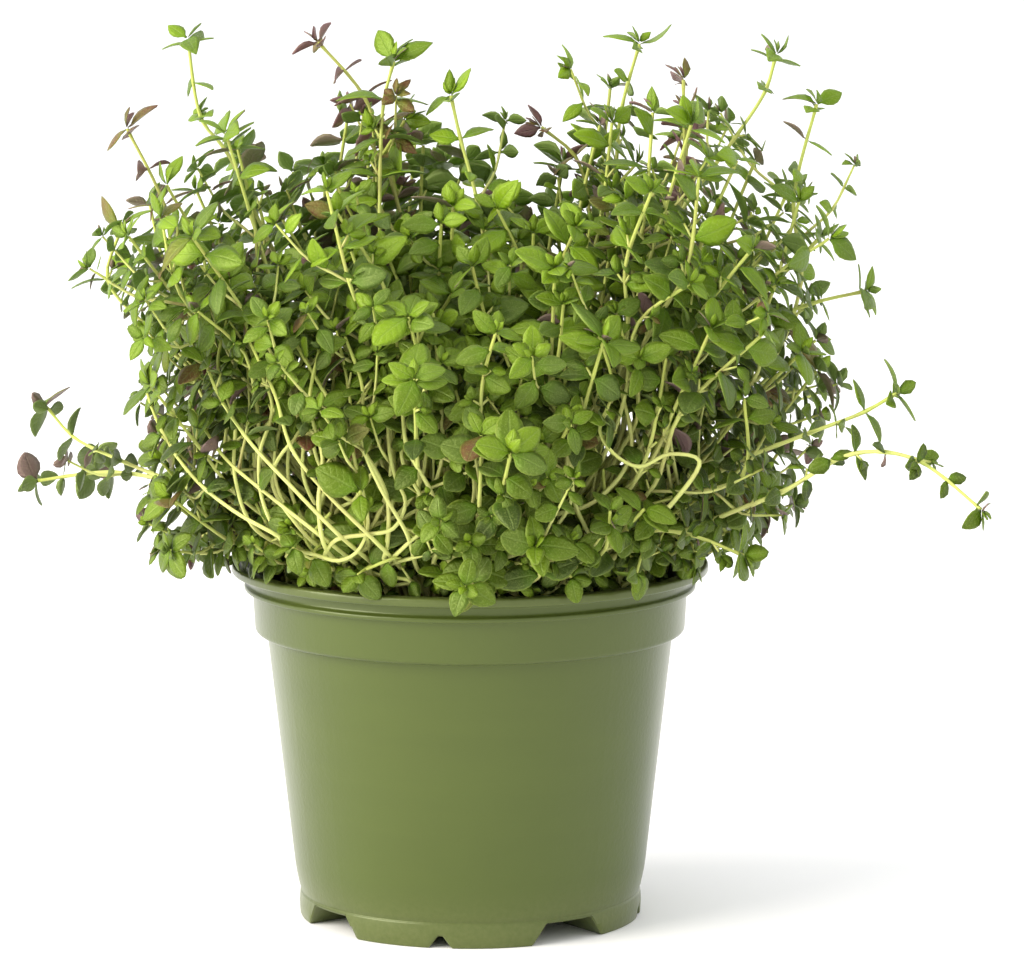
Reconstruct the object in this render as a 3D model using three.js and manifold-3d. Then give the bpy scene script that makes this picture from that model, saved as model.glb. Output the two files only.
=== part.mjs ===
// A potted thyme: a plastic nursery pot, its soil, and leafy stems that stand in holes in the soil.
// Millimetres, +Z up. The origin is the centre of the pot's underside, on the surface that the pot stands on.
// The pot's front is -Y. Turns round the pot are counted from the front towards +X.
import * as THREE from 'three';
import { mergeVertices } from 'three/addons/utils/BufferGeometryUtils.js';
import Module from 'manifold-3d';

const wasm = await Module();
wasm.setup();

// Driving dimensions
const sides = 36; // flats round the pot and the soil
const gap = 0.3; // clearance between pieces that touch
const fine = 0.02; // how far a cut pot's corners may move when flat faces are tidied
const coarse = 0.1; // the same for the soil and the shoots
const over = 1; // how far a cutter runs past what it cuts

const pot = {
  height: 85.5,
  lipRadius: 57,
  lipThickness: 2.1,
  lipRound: 0.8,
  mouthRadius: 53.4,
  flareRadius: 54.3, // outside, just under the lip
  collarTop: 79,
  collarTopRadius: 52,
  collarBottom: 69,
  collarBottomRadius: 51.4,
  collarRound: 1.6,
  bodyTopRadius: 48.6,
  bodyBottomRadius: 42,
  bodyBottom: 11, // the body rounds in below this height
  seamRadius: 40.8,
  seam: 6, // height where the body meets the feet
  wall: 1.1,
};

const foot = {
  turn: -9.5, // degrees, the middle of the first foot
  count: 4,
  innerRadius: 26,
  bottomRadius: 41,
  bulgeRadius: 41.2,
  plateUnderside: 5,
  channelBottom: 20, // width of the channel between two feet, at the surface it stands on
  channelTop: 13,
  vBottom: 5.4, // small vee in the middle of each foot
  vTop: 1.2,
  vHeight: 2.8,
  holeRadius: 3.5, // drain hole in each channel
  holeTurnRadius: 34,
  holeSides: 10,
};

const soil = {
  top: 75.2,
  crown: 0.8, // how much higher the middle is
  bump: 0.7,
  bumpPitch: 9,
  bumpShift: 1.3,
  rings: [0.7, 0.35], // rings of corners on the top, as shares of its radius
  wallGap: 0.36, // clearance to the pot's sloping wall
  stepGap: 0.75, // clearance over the step inside the collar
};

const stem = {
  width: 1.3, // the section is square, as thyme's is
  rootDepth: 8,
  neck: 1.5, // height above the soil where a stem starts to bend
  holeWidth: 2.6,
  bud: 1.3, // length above the last leaves
  apart: 2.4, // least distance between the middles of two stems
  reach: 0.98, // radius that leaves keep clear of
  bends: [0.36, 0.7], // where the bare part bends, as shares of its curve
  climbOut: 0.12, // how far out the bare part's curve leans as it climbs
  climbUp: [0.9, 0.45], // how high it climbs before it leans over, on the lowest and the highest shoots
  climbLeast: 14,
  approach: 0.35, // how much of it is in line with the leafy part
  longRise: 0.6, // where the long shoots stand between the lowest and the highest
};

const blade = {
  thickness: 0.62,
  heel: 0.25, // from the middle of the stem to the blade's sunk end
  widthShare: 0.6,
  stations: [0, 0.34, 0.54, 0.74, 1], // heel to tip, as shares of the length
  halfWidths: [0, 0.47, 0, 0.41, 0], // at those stations, as shares of the width
  cup: 0.16, // how steeply the margins rise from the midrib
  bend: 0.17, // how far the tip falls, as a share of the length
};

const leafing = {
  taper: [1, 0.88], // leaf length up a shoot, as shares of its longest leaf
  tipTaper: 0.8,
  spread: [0.93, 1.07], // how much one pair's length differs from the rule
  lean: [52, 68], // degrees between a leaf and its stem
  tipLean: 42,
  twist: 0.35, // radians by which a pair may be off its quarter turn
  tries: 5,
  tryTwist: 0.4,
  clearFrom: 0.28, // the stretch of a leaf that is kept clear of other shoots
  clearTo: 0.9,
  clearWidth: 0.42,
};

// The crown is three domes of shoots, high at the left and right. Directions in it are counted from its heart.
const crown = {
  seed: 37,
  heart: [4, 0, 96],
  domes: [
    { centre: [-36, 0, 138], radii: [54, 74, 58] },
    { centre: [6, 0, 126], radii: [50, 82, 48] },
    { centre: [50, 0, 138], radii: [40, 70, 60] },
  ],
  shoots: 30,
  lowest: -0.05, // sine of the lowest shoot's elevation
  highest: 0.98,
  tries: 40,
  turnSpread: 0.25, // radians either way
  baseSpread: 0.3,
  tipShare: [0.9, 1], // how far out a tip is, as a share of the crown's reach
  baseRadius: 41,
  baseShare: [0.9, 1],
  uplift: 0.35, // how much the highest shoots turn upward at the tip
  pairEvery: 26, // shoot length to each leaf pair
  leastPairs: 2,
  mostPairs: 4,
  leafyShare: 0.62, // of the length
  sway: 14, // how far a shoot may bow to either side, end to end
  crowding: 0.25, // radians by which shoots turn towards the front and back, where few long ones stand
  leafLength: [8.8, 10.8],
};

const colours = {
  pot: 0x74804c,
  soil: 0x2f241a,
  green: [0x4f7a33, 0x5d8a3a, 0x45702f, 0x6f9a42],
  red: 0x7b4a42,
};

// Long shoots that stand out of the crown: where each one's leaf pairs sit, up to its tip
const longShoots = [
  { name: 'shoot_tall_left', base: [-22, 7], leaf: 8,
    pairs: [[-48, 14, 160], [-58.5, 12, 183], [-64, 12, 190], [-67, 12, 208]] },
  { name: 'shoot_red_left', base: [-29, -7], leaf: 8, red: true,
    pairs: [[-69, -5, 152], [-72, -5, 171], [-80, -5, 188]] },
  { name: 'shoot_red_top_left', base: [-12, 8], leaf: 7.5, red: true,
    pairs: [[-20, 7, 180], [-25, 5, 196], [-35, 5, 208]] },
  { name: 'shoot_top_left', base: [-14, -8], leaf: 10,
    pairs: [[-21, -9, 178], [-20, -8, 196], [-18, -8, 204]] },
  { name: 'shoot_top_middle', base: [-3, -12], leaf: 8,
    pairs: [[2, -12, 172], [-2, -10, 187], [-4, -10, 196]] },
  { name: 'shoot_red_middle', base: [9, 4], leaf: 6.5, red: true,
    pairs: [[28, 5, 172], [25, 5, 182], [18, 5, 188]] },
  { name: 'shoot_tall_middle', base: [13, 11], leaf: 7.5,
    pairs: [[34, 11, 168], [36, 10, 192], [40, 10, 207]] },
  { name: 'shoot_red_top', base: [20, -14], leaf: 7.5, red: true, pairs: [[50, -15, 180], [50, -15, 200]] },
  { name: 'shoot_tall_right', base: [24, 2], leaf: 7.5,
    pairs: [[52, 0, 172], [63, 0, 187], [70, 0, 198], [72, 0, 205]] },
  { name: 'shoot_right_tip', base: [31, 9], leaf: 7.5, pairs: [[79, 6, 152], [77, 5, 171], [82, 5, 193]] },
  { name: 'shoot_right_upper', base: [33, -12], leaf: 7.5, pairs: [[70, -20, 153], [81, -20, 164]] },
  { name: 'shoot_right_side', base: [37, -3], leaf: 8, pairs: [[80, -9, 148], [92, -10, 151]] },
  { name: 'sprawl_right', base: [35, -18], leaf: 7.5,
    pairs: [[78, -38, 121], [91, -44, 127], [97, -47, 131]] },
  { name: 'sprawl_far_right', base: [30, -27], leaf: 6.5,
    pairs: [[72, -42, 108], [88, -56, 119], [101, -66, 119], [114, -77, 110]] },
  { name: 'sprawl_low_right', base: [23, -32], leaf: 7.5, pairs: [[50, -46, 99], [62, -50, 95]] },
  { name: 'sprawl_far_left', base: [-32, 19], leaf: 7,
    pairs: [[-72, 36, 99], [-90, 56, 99], [-110, 76, 94]] },
  { name: 'sprawl_left', base: [-37, 10], leaf: 7.5,
    pairs: [[-84, 17, 107], [-97, 26, 112], [-103, 30, 118]] },
  { name: 'shoot_left_side', base: [-36, -1], leaf: 8.5,
    pairs: [[-76, 0, 141], [-86, 0, 153], [-83, 0, 164]] },
];

// Solids
function toSolid(geometry) {
  geometry.deleteAttribute('normal');
  geometry.deleteAttribute('uv');
  const merged = mergeVertices(geometry);
  const index = merged.index.array;
  const triVerts = [];
  for (let i = 0; i < index.length; i += 3) {
    const [a, b, c] = [index[i], index[i + 1], index[i + 2]];
    if (a !== b && b !== c && c !== a) triVerts.push(a, b, c);
  }
  return new wasm.Manifold(new wasm.Mesh({
    numProp: 3,
    vertProperties: merged.attributes.position.array,
    triVerts: Uint32Array.from(triVerts),
  }));
}

function toMesh(name, solid, colour, roughness) {
  const cut = solid.getMesh();
  const geometry = new THREE.BufferGeometry();
  geometry.setAttribute('position', new THREE.BufferAttribute(cut.vertProperties, cut.numProp));
  geometry.setIndex(new THREE.BufferAttribute(cut.triVerts, 1));
  const faceted = geometry.toNonIndexed();
  faceted.computeVertexNormals();
  const finish = new THREE.MeshStandardMaterial({ color: colour, roughness, metalness: 0 });
  const mesh = new THREE.Mesh(faceted, finish);
  mesh.name = name;
  return mesh;
}

const union = (solids) => wasm.Manifold.union(solids);

// A solid with its flat faces tidied. A join can leave crumbs of no volume beside it, which are dropped.
function tidied(solid, tolerance) {
  const bodies = solid.asOriginal().simplify(tolerance).decompose();
  return bodies.reduce((largest, body) => (body.volume() > largest.volume() ? body : largest));
}

// Turns an outline of [radius, height] points about the pot's axis. The first facet's corner is at the front.
function turned(outline) {
  const geometry = new THREE.LatheGeometry(outline.map(([r, z]) => new THREE.Vector2(r, z)), sides);
  geometry.rotateX(Math.PI / 2);
  return geometry;
}

// A tapered bar that runs outward from the pot's axis at a turn, with its wide side down
function radialBar(bottom, top, height, turn) {
  const section = new THREE.Shape([
    new THREE.Vector2(-bottom / 2, 0),
    new THREE.Vector2(bottom / 2, 0),
    new THREE.Vector2(top / 2, height),
    new THREE.Vector2(-top / 2, height),
  ]);
  const geometry = new THREE.ExtrudeGeometry(section, { depth: pot.lipRadius, bevelEnabled: false });
  geometry.rotateX(Math.PI / 2);
  geometry.rotateZ(THREE.MathUtils.degToRad(turn));
  return geometry;
}

const footPitch = 360 / foot.count;
const footTurns = Array.from({ length: foot.count }, (_, k) => foot.turn + k * footPitch);
const channelTurns = footTurns.map((turn) => turn + footPitch / 2);
const floorTop = foot.plateUnderside + pot.wall;

// What is hollow in the feet, seen from inside the pot, made smaller all round by a clearance
function footHollows(clearance) {
  const shrink = pot.wall + clearance;
  const bottom = shrink;
  const top = floorTop + over;
  const ring = toSolid(turned([
    [foot.innerRadius + shrink, bottom],
    [foot.bottomRadius - shrink, bottom],
    [foot.bottomRadius - shrink, top],
    [foot.innerRadius + shrink, top],
    [foot.innerRadius + shrink, bottom],
  ]));
  const channels = channelTurns.map((turn) =>
    toSolid(radialBar(foot.channelBottom + 2 * shrink, foot.channelTop + 2 * shrink, top + over, turn)));
  const vees = footTurns.map((turn) =>
    toSolid(radialBar(foot.vBottom + 2 * shrink, foot.vTop + 2 * shrink, foot.vHeight + shrink, turn)));
  return ring.subtract(union([...channels, ...vees]));
}

function makePot() {
  const outside = toSolid(turned([
    [0, foot.plateUnderside],
    [pot.seamRadius, foot.plateUnderside],
    [pot.seamRadius, pot.seam],
    [pot.bodyBottomRadius, pot.bodyBottom],
    [pot.bodyTopRadius, pot.collarBottom - gap],
    [pot.collarBottomRadius - pot.collarRound / 2, pot.collarBottom],
    [pot.collarBottomRadius, pot.collarBottom + pot.collarRound],
    [pot.collarTopRadius, pot.collarTop],
    [pot.flareRadius, pot.height - pot.lipThickness - gap],
    [pot.lipRadius - pot.lipRound / 2, pot.height - pot.lipThickness],
    [pot.lipRadius, pot.height - pot.lipThickness / 2],
    [pot.lipRadius - pot.lipRound, pot.height],
    [0, pot.height],
  ]));
  const inside = toSolid(turned([
    [0, floorTop],
    [pot.bodyBottomRadius - 2 * pot.wall, floorTop],
    [pot.bodyTopRadius - pot.wall, pot.collarBottom + pot.wall / 2],
    [pot.collarBottomRadius - pot.wall, pot.collarBottom + pot.collarRound + gap],
    [pot.collarTopRadius - pot.wall, pot.collarTop + gap],
    [pot.mouthRadius, pot.height - pot.lipThickness + gap],
    [pot.mouthRadius, pot.height + over],
    [0, pot.height + over],
  ]));
  const footRing = toSolid(turned([
    [foot.innerRadius, 0],
    [foot.bottomRadius, 0],
    [foot.bulgeRadius, pot.seam / 2],
    [foot.bottomRadius, pot.seam],
    [foot.innerRadius, pot.seam],
    [foot.innerRadius, 0],
  ]));
  const channels = channelTurns.map((turn) =>
    toSolid(radialBar(foot.channelBottom, foot.channelTop, foot.plateUnderside, turn)));
  const vees = footTurns.map((turn) => toSolid(radialBar(foot.vBottom, foot.vTop, foot.vHeight, turn)));
  const holes = channelTurns.map((turn) => {
    const drill = new THREE.CylinderGeometry(foot.holeRadius, foot.holeRadius, 4 * pot.wall, foot.holeSides);
    drill.rotateX(Math.PI / 2);
    drill.translate(0, -foot.holeTurnRadius, floorTop);
    drill.rotateZ(THREE.MathUtils.degToRad(turn));
    return toSolid(drill);
  });
  const feet = footRing.subtract(union([...channels, ...vees]));
  return tidied(outside.add(feet).subtract(union([inside, footHollows(0), ...holes])), fine);
}

const soilHeight = (x, y) => {
  const middle = 1 - Math.hypot(x, y) / pot.mouthRadius;
  const broad = Math.sin(x / soil.bumpPitch + soil.bumpShift) * Math.cos(y / soil.bumpPitch);
  const waves = broad + Math.sin((x - 2 * y) / soil.bumpPitch);
  return soil.top + soil.crown * middle + soil.bump * waves / 2;
};

function makeSoil(shoots) {
  const edge = pot.collarBottomRadius - pot.wall - gap;
  const geometry = turned([
    [0, floorTop + gap],
    [pot.bodyBottomRadius - 2 * pot.wall - soil.wallGap, floorTop + gap],
    [pot.bodyTopRadius - pot.wall - soil.wallGap, pot.collarBottom + pot.wall / 2 + gap],
    [edge, pot.collarBottom + pot.collarRound + soil.stepGap],
    [edge, soil.top],
    ...soil.rings.map((share) => [edge * share, soil.top]),
    [0, soil.top],
  ]);
  const position = geometry.attributes.position;
  for (let i = 0; i < position.count; i += 1) {
    const onTop = position.getZ(i) > soil.top - fine;
    if (onTop) position.setZ(i, soilHeight(position.getX(i), position.getY(i)));
  }
  const holes = shoots.map(({ path }) => {
    const depth = path[1].z - path[0].z + gap + over;
    const hole = new THREE.BoxGeometry(stem.holeWidth, stem.holeWidth, depth);
    hole.translate(path[0].x, path[0].y, path[0].z - gap + depth / 2);
    return toSolid(hole);
  });
  return tidied(toSolid(geometry).add(footHollows(gap)).subtract(union(holes)), coarse);
}

// Seeded draws from 0 to 1
function drawsFrom(seed) {
  let state = seed;
  return () => {
    state = (state + 0x6d2b79f5) >>> 0;
    let mix = Math.imul(state ^ (state >>> 15), state | 1);
    mix = (mix + Math.imul(mix ^ (mix >>> 7), mix | 61)) ^ mix;
    return ((mix ^ (mix >>> 14)) >>> 0) / 4294967296;
  };
}

const vector = ([x, y, z]) => new THREE.Vector3(x, y, z);
const along = (from, way, distance) => from.clone().addScaledVector(way, distance);
const mixed = (a, b, share) => a + (b - a) * share;

// Least distance between two straight stretches
function stretchDistance(a, b, c, d) {
  const u = b.clone().sub(a);
  const v = d.clone().sub(c);
  const w = a.clone().sub(c);
  const uu = u.dot(u);
  const uv = u.dot(v);
  const vv = v.dot(v);
  const uw = u.dot(w);
  const vw = v.dot(w);
  const across = uu * vv - uv * uv;
  let s = across > 1e-9 ? Math.min(1, Math.max(0, (uv * vw - vv * uw) / across)) : 0;
  let t = (uv * s + vw) / vv;
  if (t < 0) {
    t = 0;
    s = Math.min(1, Math.max(0, -uw / uu));
  } else if (t > 1) {
    t = 1;
    s = Math.min(1, Math.max(0, (uv - uw) / uu));
  }
  return along(a, u, s).distanceTo(along(c, v, t));
}

// Whether a ball at a point would touch the pot's lip or wall
function meetsPot(point, radius) {
  const out = Math.hypot(point.x, point.y);
  const inside = pot.collarBottomRadius - 2 * pot.wall - radius;
  return out > inside && out < pot.lipRadius + radius && point.z < pot.height + radius;
}

const meetsSoil = (point, radius) =>
  Math.hypot(point.x, point.y) < pot.lipRadius && point.z < soil.top + soil.crown + soil.bump + radius;

const curvePoint = ([p, q, r, s], t) => {
  const back = 1 - t;
  return new THREE.Vector3()
    .addScaledVector(p, back ** 3)
    .addScaledVector(q, 3 * back * back * t)
    .addScaledVector(r, 3 * back * t * t)
    .addScaledVector(s, t ** 3);
};

// A stem's corner points: its foot in the soil, its neck, the bends below the leaves, each leaf pair, the bud
function stemPath(base, pairs, way, rise) {
  const ground = new THREE.Vector3(base[0], base[1], soil.top + stem.neck);
  const first = pairs[0];
  const height = first.z - ground.z;
  const reach = Math.hypot(first.x - ground.x, first.y - ground.y);
  const out = new THREE.Vector3(first.x - ground.x, first.y - ground.y, 0).normalize();
  const climb = along(ground, out, stem.climbOut * reach);
  climb.z += mixed(Math.max(stem.climbLeast, stem.climbUp[0] * height), stem.climbUp[1] * height, rise);
  const curve = [ground, climb, along(first, way, -stem.approach * Math.hypot(reach, height)), first];
  const last = pairs[pairs.length - 1];
  const tipWay = last.clone().sub(pairs[pairs.length - 2]).normalize();
  return [
    new THREE.Vector3(base[0], base[1], soil.top - stem.rootDepth),
    ground,
    ...stem.bends.map((share) => curvePoint(curve, share)),
    ...pairs,
    along(last, tipWay, stem.bud),
  ];
}

function clearOfStems(path, paths) {
  for (let i = 1; i < path.length - 1; i += 1) {
    for (const share of [0.25, 0.5, 0.75, 1]) {
      if (meetsPot(path[i].clone().lerp(path[i + 1], share), stem.width)) return false;
    }
    for (const other of paths) {
      for (let k = 0; k < other.length - 1; k += 1) {
        if (stretchDistance(path[i], path[i + 1], other[k], other[k + 1]) < stem.apart) return false;
      }
    }
  }
  return true;
}

// How far the crown reaches from its heart in a direction
function crownReach(way) {
  let far = 0;
  for (const { centre, radii } of crown.domes) {
    const scale = vector(radii);
    const start = vector(crown.heart).sub(vector(centre)).divide(scale);
    const step = way.clone().divide(scale);
    const a = step.dot(step);
    const b = start.dot(step);
    const c = start.dot(start) - 1;
    const inside = b * b - a * c;
    if (inside > 0) far = Math.max(far, (-b + Math.sqrt(inside)) / a);
  }
  return far;
}

const goldenTurn = Math.PI * (3 - Math.sqrt(5));

function layShoots() {
  const draw = drawsFrom(crown.seed);
  const shoots = longShoots.map(({ name, base, leaf, red, pairs }) => {
    const points = pairs.map(vector);
    const way = points[1].clone().sub(points[0]).normalize();
    return { name, red, leaf, pairs: pairs.length, path: stemPath(base, points, way, stem.longRise) };
  });
  for (let k = 0; k < crown.shoots; k += 1) {
    const share = (k + 0.5) / crown.shoots;
    const rise = mixed(crown.lowest, crown.highest, share);
    for (let attempt = 0; attempt < crown.tries; attempt += 1) {
      const even = k * goldenTurn;
      const turn = even + crown.crowding * Math.sin(2 * even) + crown.turnSpread * (2 * draw() - 1);
      const level = Math.sqrt(1 - rise * rise);
      const way = new THREE.Vector3(level * Math.cos(turn), level * Math.sin(turn), rise);
      const tip = along(vector(crown.heart), way, crownReach(way) * mixed(...crown.tipShare, draw()));
      const baseTurn = turn + crown.baseSpread * (2 * draw() - 1);
      const baseOut = crown.baseRadius * Math.sqrt(1 - share) * mixed(...crown.baseShare, draw());
      const base = [baseOut * Math.cos(baseTurn), baseOut * Math.sin(baseTurn)];
      const ground = new THREE.Vector3(base[0], base[1], soil.top);
      const tipWay = tip.clone().sub(ground).normalize();
      tipWay.z += crown.uplift * share;
      tipWay.normalize();
      const sway = new THREE.Vector3(-Math.sin(turn), Math.cos(turn), 0);
      sway.multiplyScalar(crown.sway * (draw() - 0.5));
      const length = tip.distanceTo(ground);
      const wanted = Math.round(length / crown.pairEvery);
      const count = Math.max(crown.leastPairs, Math.min(crown.mostPairs, wanted));
      const pitch = crown.leafyShare * length / count;
      const pairs = [];
      for (let i = count - 1; i >= 0; i -= 1) {
        pairs.push(along(along(tip, tipWay, -i * pitch), sway, i / count));
      }
      const path = stemPath(base, pairs, tipWay, share);
      if (clearOfStems(path, shoots.map((shoot) => shoot.path))) {
        const leaf = mixed(...crown.leafLength, draw());
        const number = shoots.length - longShoots.length + 1;
        shoots.push({ name: `shoot_${String(number).padStart(2, '0')}`, leaf, pairs: count, path });
        break;
      }
    }
  }
  return shoots;
}

// Whether a leaf's broad stretch would touch the pot, the soil or another shoot
function blocked(leaf, taken) {
  const ends = [leaf.from, leaf.to];
  if (ends.some((end) => meetsPot(end, leaf.radius) || meetsSoil(end, leaf.radius))) return true;
  return taken.some((other) => other.owner !== leaf.owner
    && stretchDistance(leaf.from, leaf.to, other.from, other.to) < leaf.radius + other.radius);
}

// A leaf that leans from its stem's way towards a side, with its upper face to the stem's tip
function setLeaf(owner, at, way, side, lean, length) {
  const heading = way.clone().multiplyScalar(Math.cos(lean)).addScaledVector(side, Math.sin(lean));
  const upper = way.clone().addScaledVector(heading, -way.dot(heading)).normalize();
  const width = length * blade.widthShare;
  const fall = -blade.bend * leafing.clearTo ** 2 * length;
  return {
    owner,
    at,
    heading,
    upper,
    length,
    width,
    from: along(at, heading, leafing.clearFrom * length),
    to: along(along(at, heading, leafing.clearTo * length), upper, fall),
    radius: leafing.clearWidth * width + gap,
  };
}

// Gives each shoot its leaves, in opposite pairs that turn a quarter from one pair to the next
function layLeaves(shoots) {
  const draw = drawsFrom(crown.seed + 1);
  const taken = shoots.flatMap(({ path }, owner) =>
    path.slice(0, -1).map((from, k) => ({ owner, from, to: path[k + 1], radius: stem.reach })));
  shoots.forEach((shoot, owner) => {
    shoot.leaves = [];
    const first = shoot.path.length - 1 - shoot.pairs;
    for (let i = 0; i < shoot.pairs; i += 1) {
      const at = shoot.path[first + i];
      const way = shoot.path[first + i + 1].clone().sub(shoot.path[first + i - 1]).normalize();
      const level = new THREE.Vector3(way.y, -way.x, 0).normalize();
      const last = i === shoot.pairs - 1;
      const taper = last ? leafing.tipTaper : mixed(...leafing.taper, i / shoot.pairs);
      const length = shoot.leaf * taper * mixed(...leafing.spread, draw());
      const leanDraw = draw();
      const lean = THREE.MathUtils.degToRad(last ? leafing.tipLean : mixed(...leafing.lean, leanDraw));
      const twist = leafing.twist * (2 * draw() - 1);
      for (let half = 0; half < 2; half += 1) {
        for (let attempt = 0; attempt < leafing.tries; attempt += 1) {
          const turn = Math.PI * (half + i / 2) + twist + attempt * leafing.tryTwist;
          const side = level.clone().applyAxisAngle(way, turn);
          const leaf = setLeaf(owner, at, way, side, lean, length);
          if (!blocked(leaf, taken)) {
            taken.push(leaf);
            shoot.leaves.push(leaf);
            break;
          }
        }
      }
    }
  });
}

// A straight run between corner points, so that a tube's rings sit on the corners
class CornerPath extends THREE.Curve {
  constructor(corners) {
    super();
    this.corners = corners;
  }

  getPoint(t) {
    const place = t * (this.corners.length - 1);
    const k = Math.max(0, Math.min(Math.floor(place), this.corners.length - 2));
    return this.corners[k].clone().lerp(this.corners[k + 1], place - k);
  }

  getPointAt(t) {
    return this.getPoint(t);
  }

  getUtoTmapping(t) {
    return t;
  }
}

function stemTube(path) {
  const half = stem.width / 2;
  const corners = [[-half, -half], [half, -half], [half, half], [-half, half]];
  const section = new THREE.Shape(corners.map(([x, y]) => new THREE.Vector2(x, y)));
  return new THREE.ExtrudeGeometry(section, { steps: path.length - 1, extrudePath: new CornerPath(path) });
}

// An oval blade with its heel at the stem: a six-sided disc, drawn out, cupped along the midrib and bent down
function leafBlade({ at, heading, upper, length, width }) {
  const geometry = new THREE.CylinderGeometry(1, 1, blade.thickness, 6, 1, false, Math.PI / 2);
  geometry.rotateX(Math.PI / 2);
  const position = geometry.attributes.position;
  for (let i = 0; i < position.count; i += 1) {
    const station = Math.round(2 * (position.getX(i) + 1));
    const share = blade.stations[station];
    const side = Math.abs(position.getY(i)) < 0.1 ? 0 : Math.sign(position.getY(i));
    const y = side * blade.halfWidths[station] * width;
    const lift = blade.cup * Math.abs(y) - blade.bend * length * share * share;
    position.setXYZ(i, share * length, y, position.getZ(i) + lift);
  }
  const across = upper.clone().cross(heading);
  const place = new THREE.Matrix4().makeBasis(heading, across, upper);
  geometry.applyMatrix4(place.setPosition(along(at, heading, blade.heel)));
  return geometry;
}

function makeShoot({ path, leaves }) {
  return tidied(union([toSolid(stemTube(path)), ...leaves.map((leaf) => toSolid(leafBlade(leaf)))]), coarse);
}

const shoots = layShoots();
layLeaves(shoots);

const pottedThyme = new THREE.Group();
pottedThyme.add(toMesh('pot', makePot(), colours.pot, 0.45));
pottedThyme.add(toMesh('soil', makeSoil(shoots), colours.soil, 0.95));
shoots.forEach((shoot, k) => {
  const colour = shoot.red ? colours.red : colours.green[k % colours.green.length];
  pottedThyme.add(toMesh(shoot.name, makeShoot(shoot), colour, 0.6));
});

export default pottedThyme;
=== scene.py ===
# A potted thyme: a satin plastic nursery pot, dark crumbly soil and a dense crown of leafy stems.
# Sizes in the dictionaries are millimetres, and z is up from the surface that the pot stands on.
import math

import bpy
import numpy as np
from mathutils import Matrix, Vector


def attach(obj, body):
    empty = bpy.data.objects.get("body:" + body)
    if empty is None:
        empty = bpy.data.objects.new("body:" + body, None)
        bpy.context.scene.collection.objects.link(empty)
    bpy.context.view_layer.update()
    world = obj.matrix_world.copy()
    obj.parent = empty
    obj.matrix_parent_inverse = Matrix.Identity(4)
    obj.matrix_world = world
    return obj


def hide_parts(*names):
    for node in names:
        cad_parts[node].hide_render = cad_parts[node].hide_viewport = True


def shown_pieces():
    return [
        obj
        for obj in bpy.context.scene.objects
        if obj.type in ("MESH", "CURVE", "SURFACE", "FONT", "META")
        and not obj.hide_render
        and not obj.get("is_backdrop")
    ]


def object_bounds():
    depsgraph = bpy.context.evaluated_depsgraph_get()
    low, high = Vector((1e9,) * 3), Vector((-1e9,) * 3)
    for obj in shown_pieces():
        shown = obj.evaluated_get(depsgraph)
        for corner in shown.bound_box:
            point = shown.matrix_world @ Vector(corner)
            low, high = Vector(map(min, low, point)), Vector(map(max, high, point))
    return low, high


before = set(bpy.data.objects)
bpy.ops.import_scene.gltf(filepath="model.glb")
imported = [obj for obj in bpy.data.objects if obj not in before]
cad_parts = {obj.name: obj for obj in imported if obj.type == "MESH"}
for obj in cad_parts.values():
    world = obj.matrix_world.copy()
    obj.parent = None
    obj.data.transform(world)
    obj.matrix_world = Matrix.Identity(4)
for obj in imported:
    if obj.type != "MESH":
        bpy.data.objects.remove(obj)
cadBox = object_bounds()
metre = 0.001  # one millimetre in Blender's metres


# Meshes and materials

def makePiece(name, points, faces, materials, smoothAngle=None):
    mesh = bpy.data.meshes.new(name)
    mesh.from_pydata(np.asarray(points, float) * metre, [], faces)
    for material in materials:
        mesh.materials.append(material)
    mesh.polygons.foreach_set("use_smooth", np.ones(len(mesh.polygons), bool))
    if smoothAngle is not None:
        mesh.set_sharp_from_angle(angle=math.radians(smoothAngle))
    mesh.update()
    piece = bpy.data.objects.new(name, mesh)
    bpy.context.scene.collection.objects.link(piece)
    return piece


def keepVectors(mesh, name, values):
    attribute = mesh.attributes.new(name, "FLOAT_VECTOR", "POINT")
    attribute.data.foreach_set("vector", np.asarray(values, np.float32).ravel())


def paint(code):
    parts = [int(code[i:i + 2], 16) / 255 for i in (0, 2, 4)]
    linear = [p / 12.92 if p <= 0.04045 else ((p + 0.055) / 1.055) ** 2.4 for p in parts]
    return (*linear, 1)


def addNode(tree, kind, inputs=None, **settings):
    made = tree.nodes.new(kind)
    for key, value in settings.items():
        setattr(made, key, value)
    for key, value in (inputs or {}).items():
        if isinstance(value, bpy.types.NodeSocket):
            tree.links.new(value, made.inputs[key])
        else:
            made.inputs[key].default_value = value
    return made


def mathNode(tree, operation, first, second=0.5, clamp=False):
    inputs = {0: first, 1: second}
    return addNode(tree, "ShaderNodeMath", inputs, operation=operation, use_clamp=clamp).outputs[0]


def blendColours(tree, share, first, second):
    return addNode(tree, "ShaderNodeMix", {0: share, 6: first, 7: second}, data_type="RGBA").outputs[2]


def stretchRange(tree, value, low, high, start=0.0, end=1.0):
    inputs = {0: value, 1: low, 2: high, 3: start, 4: end}
    return addNode(tree, "ShaderNodeMapRange", inputs, interpolation_type="SMOOTHSTEP").outputs[0]


def noiseAt(tree, place, scale, detail, roughness=0.5):
    inputs = {"Vector": place, "Scale": scale, "Detail": detail, "Roughness": roughness}
    return addNode(tree, "ShaderNodeTexNoise", inputs).outputs["Fac"]


def stretchedPlace(tree, place, scale):
    return addNode(tree, "ShaderNodeMapping", {"Vector": place, "Scale": scale}).outputs[0]


def showShader(tree, shader):
    addNode(tree, "ShaderNodeOutputMaterial", {"Surface": shader.outputs[0]})


def newMaterial(name):
    material = bpy.data.materials.new(name)
    material.use_nodes = True
    tree = material.node_tree
    tree.nodes.clear()
    return material, tree


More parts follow.
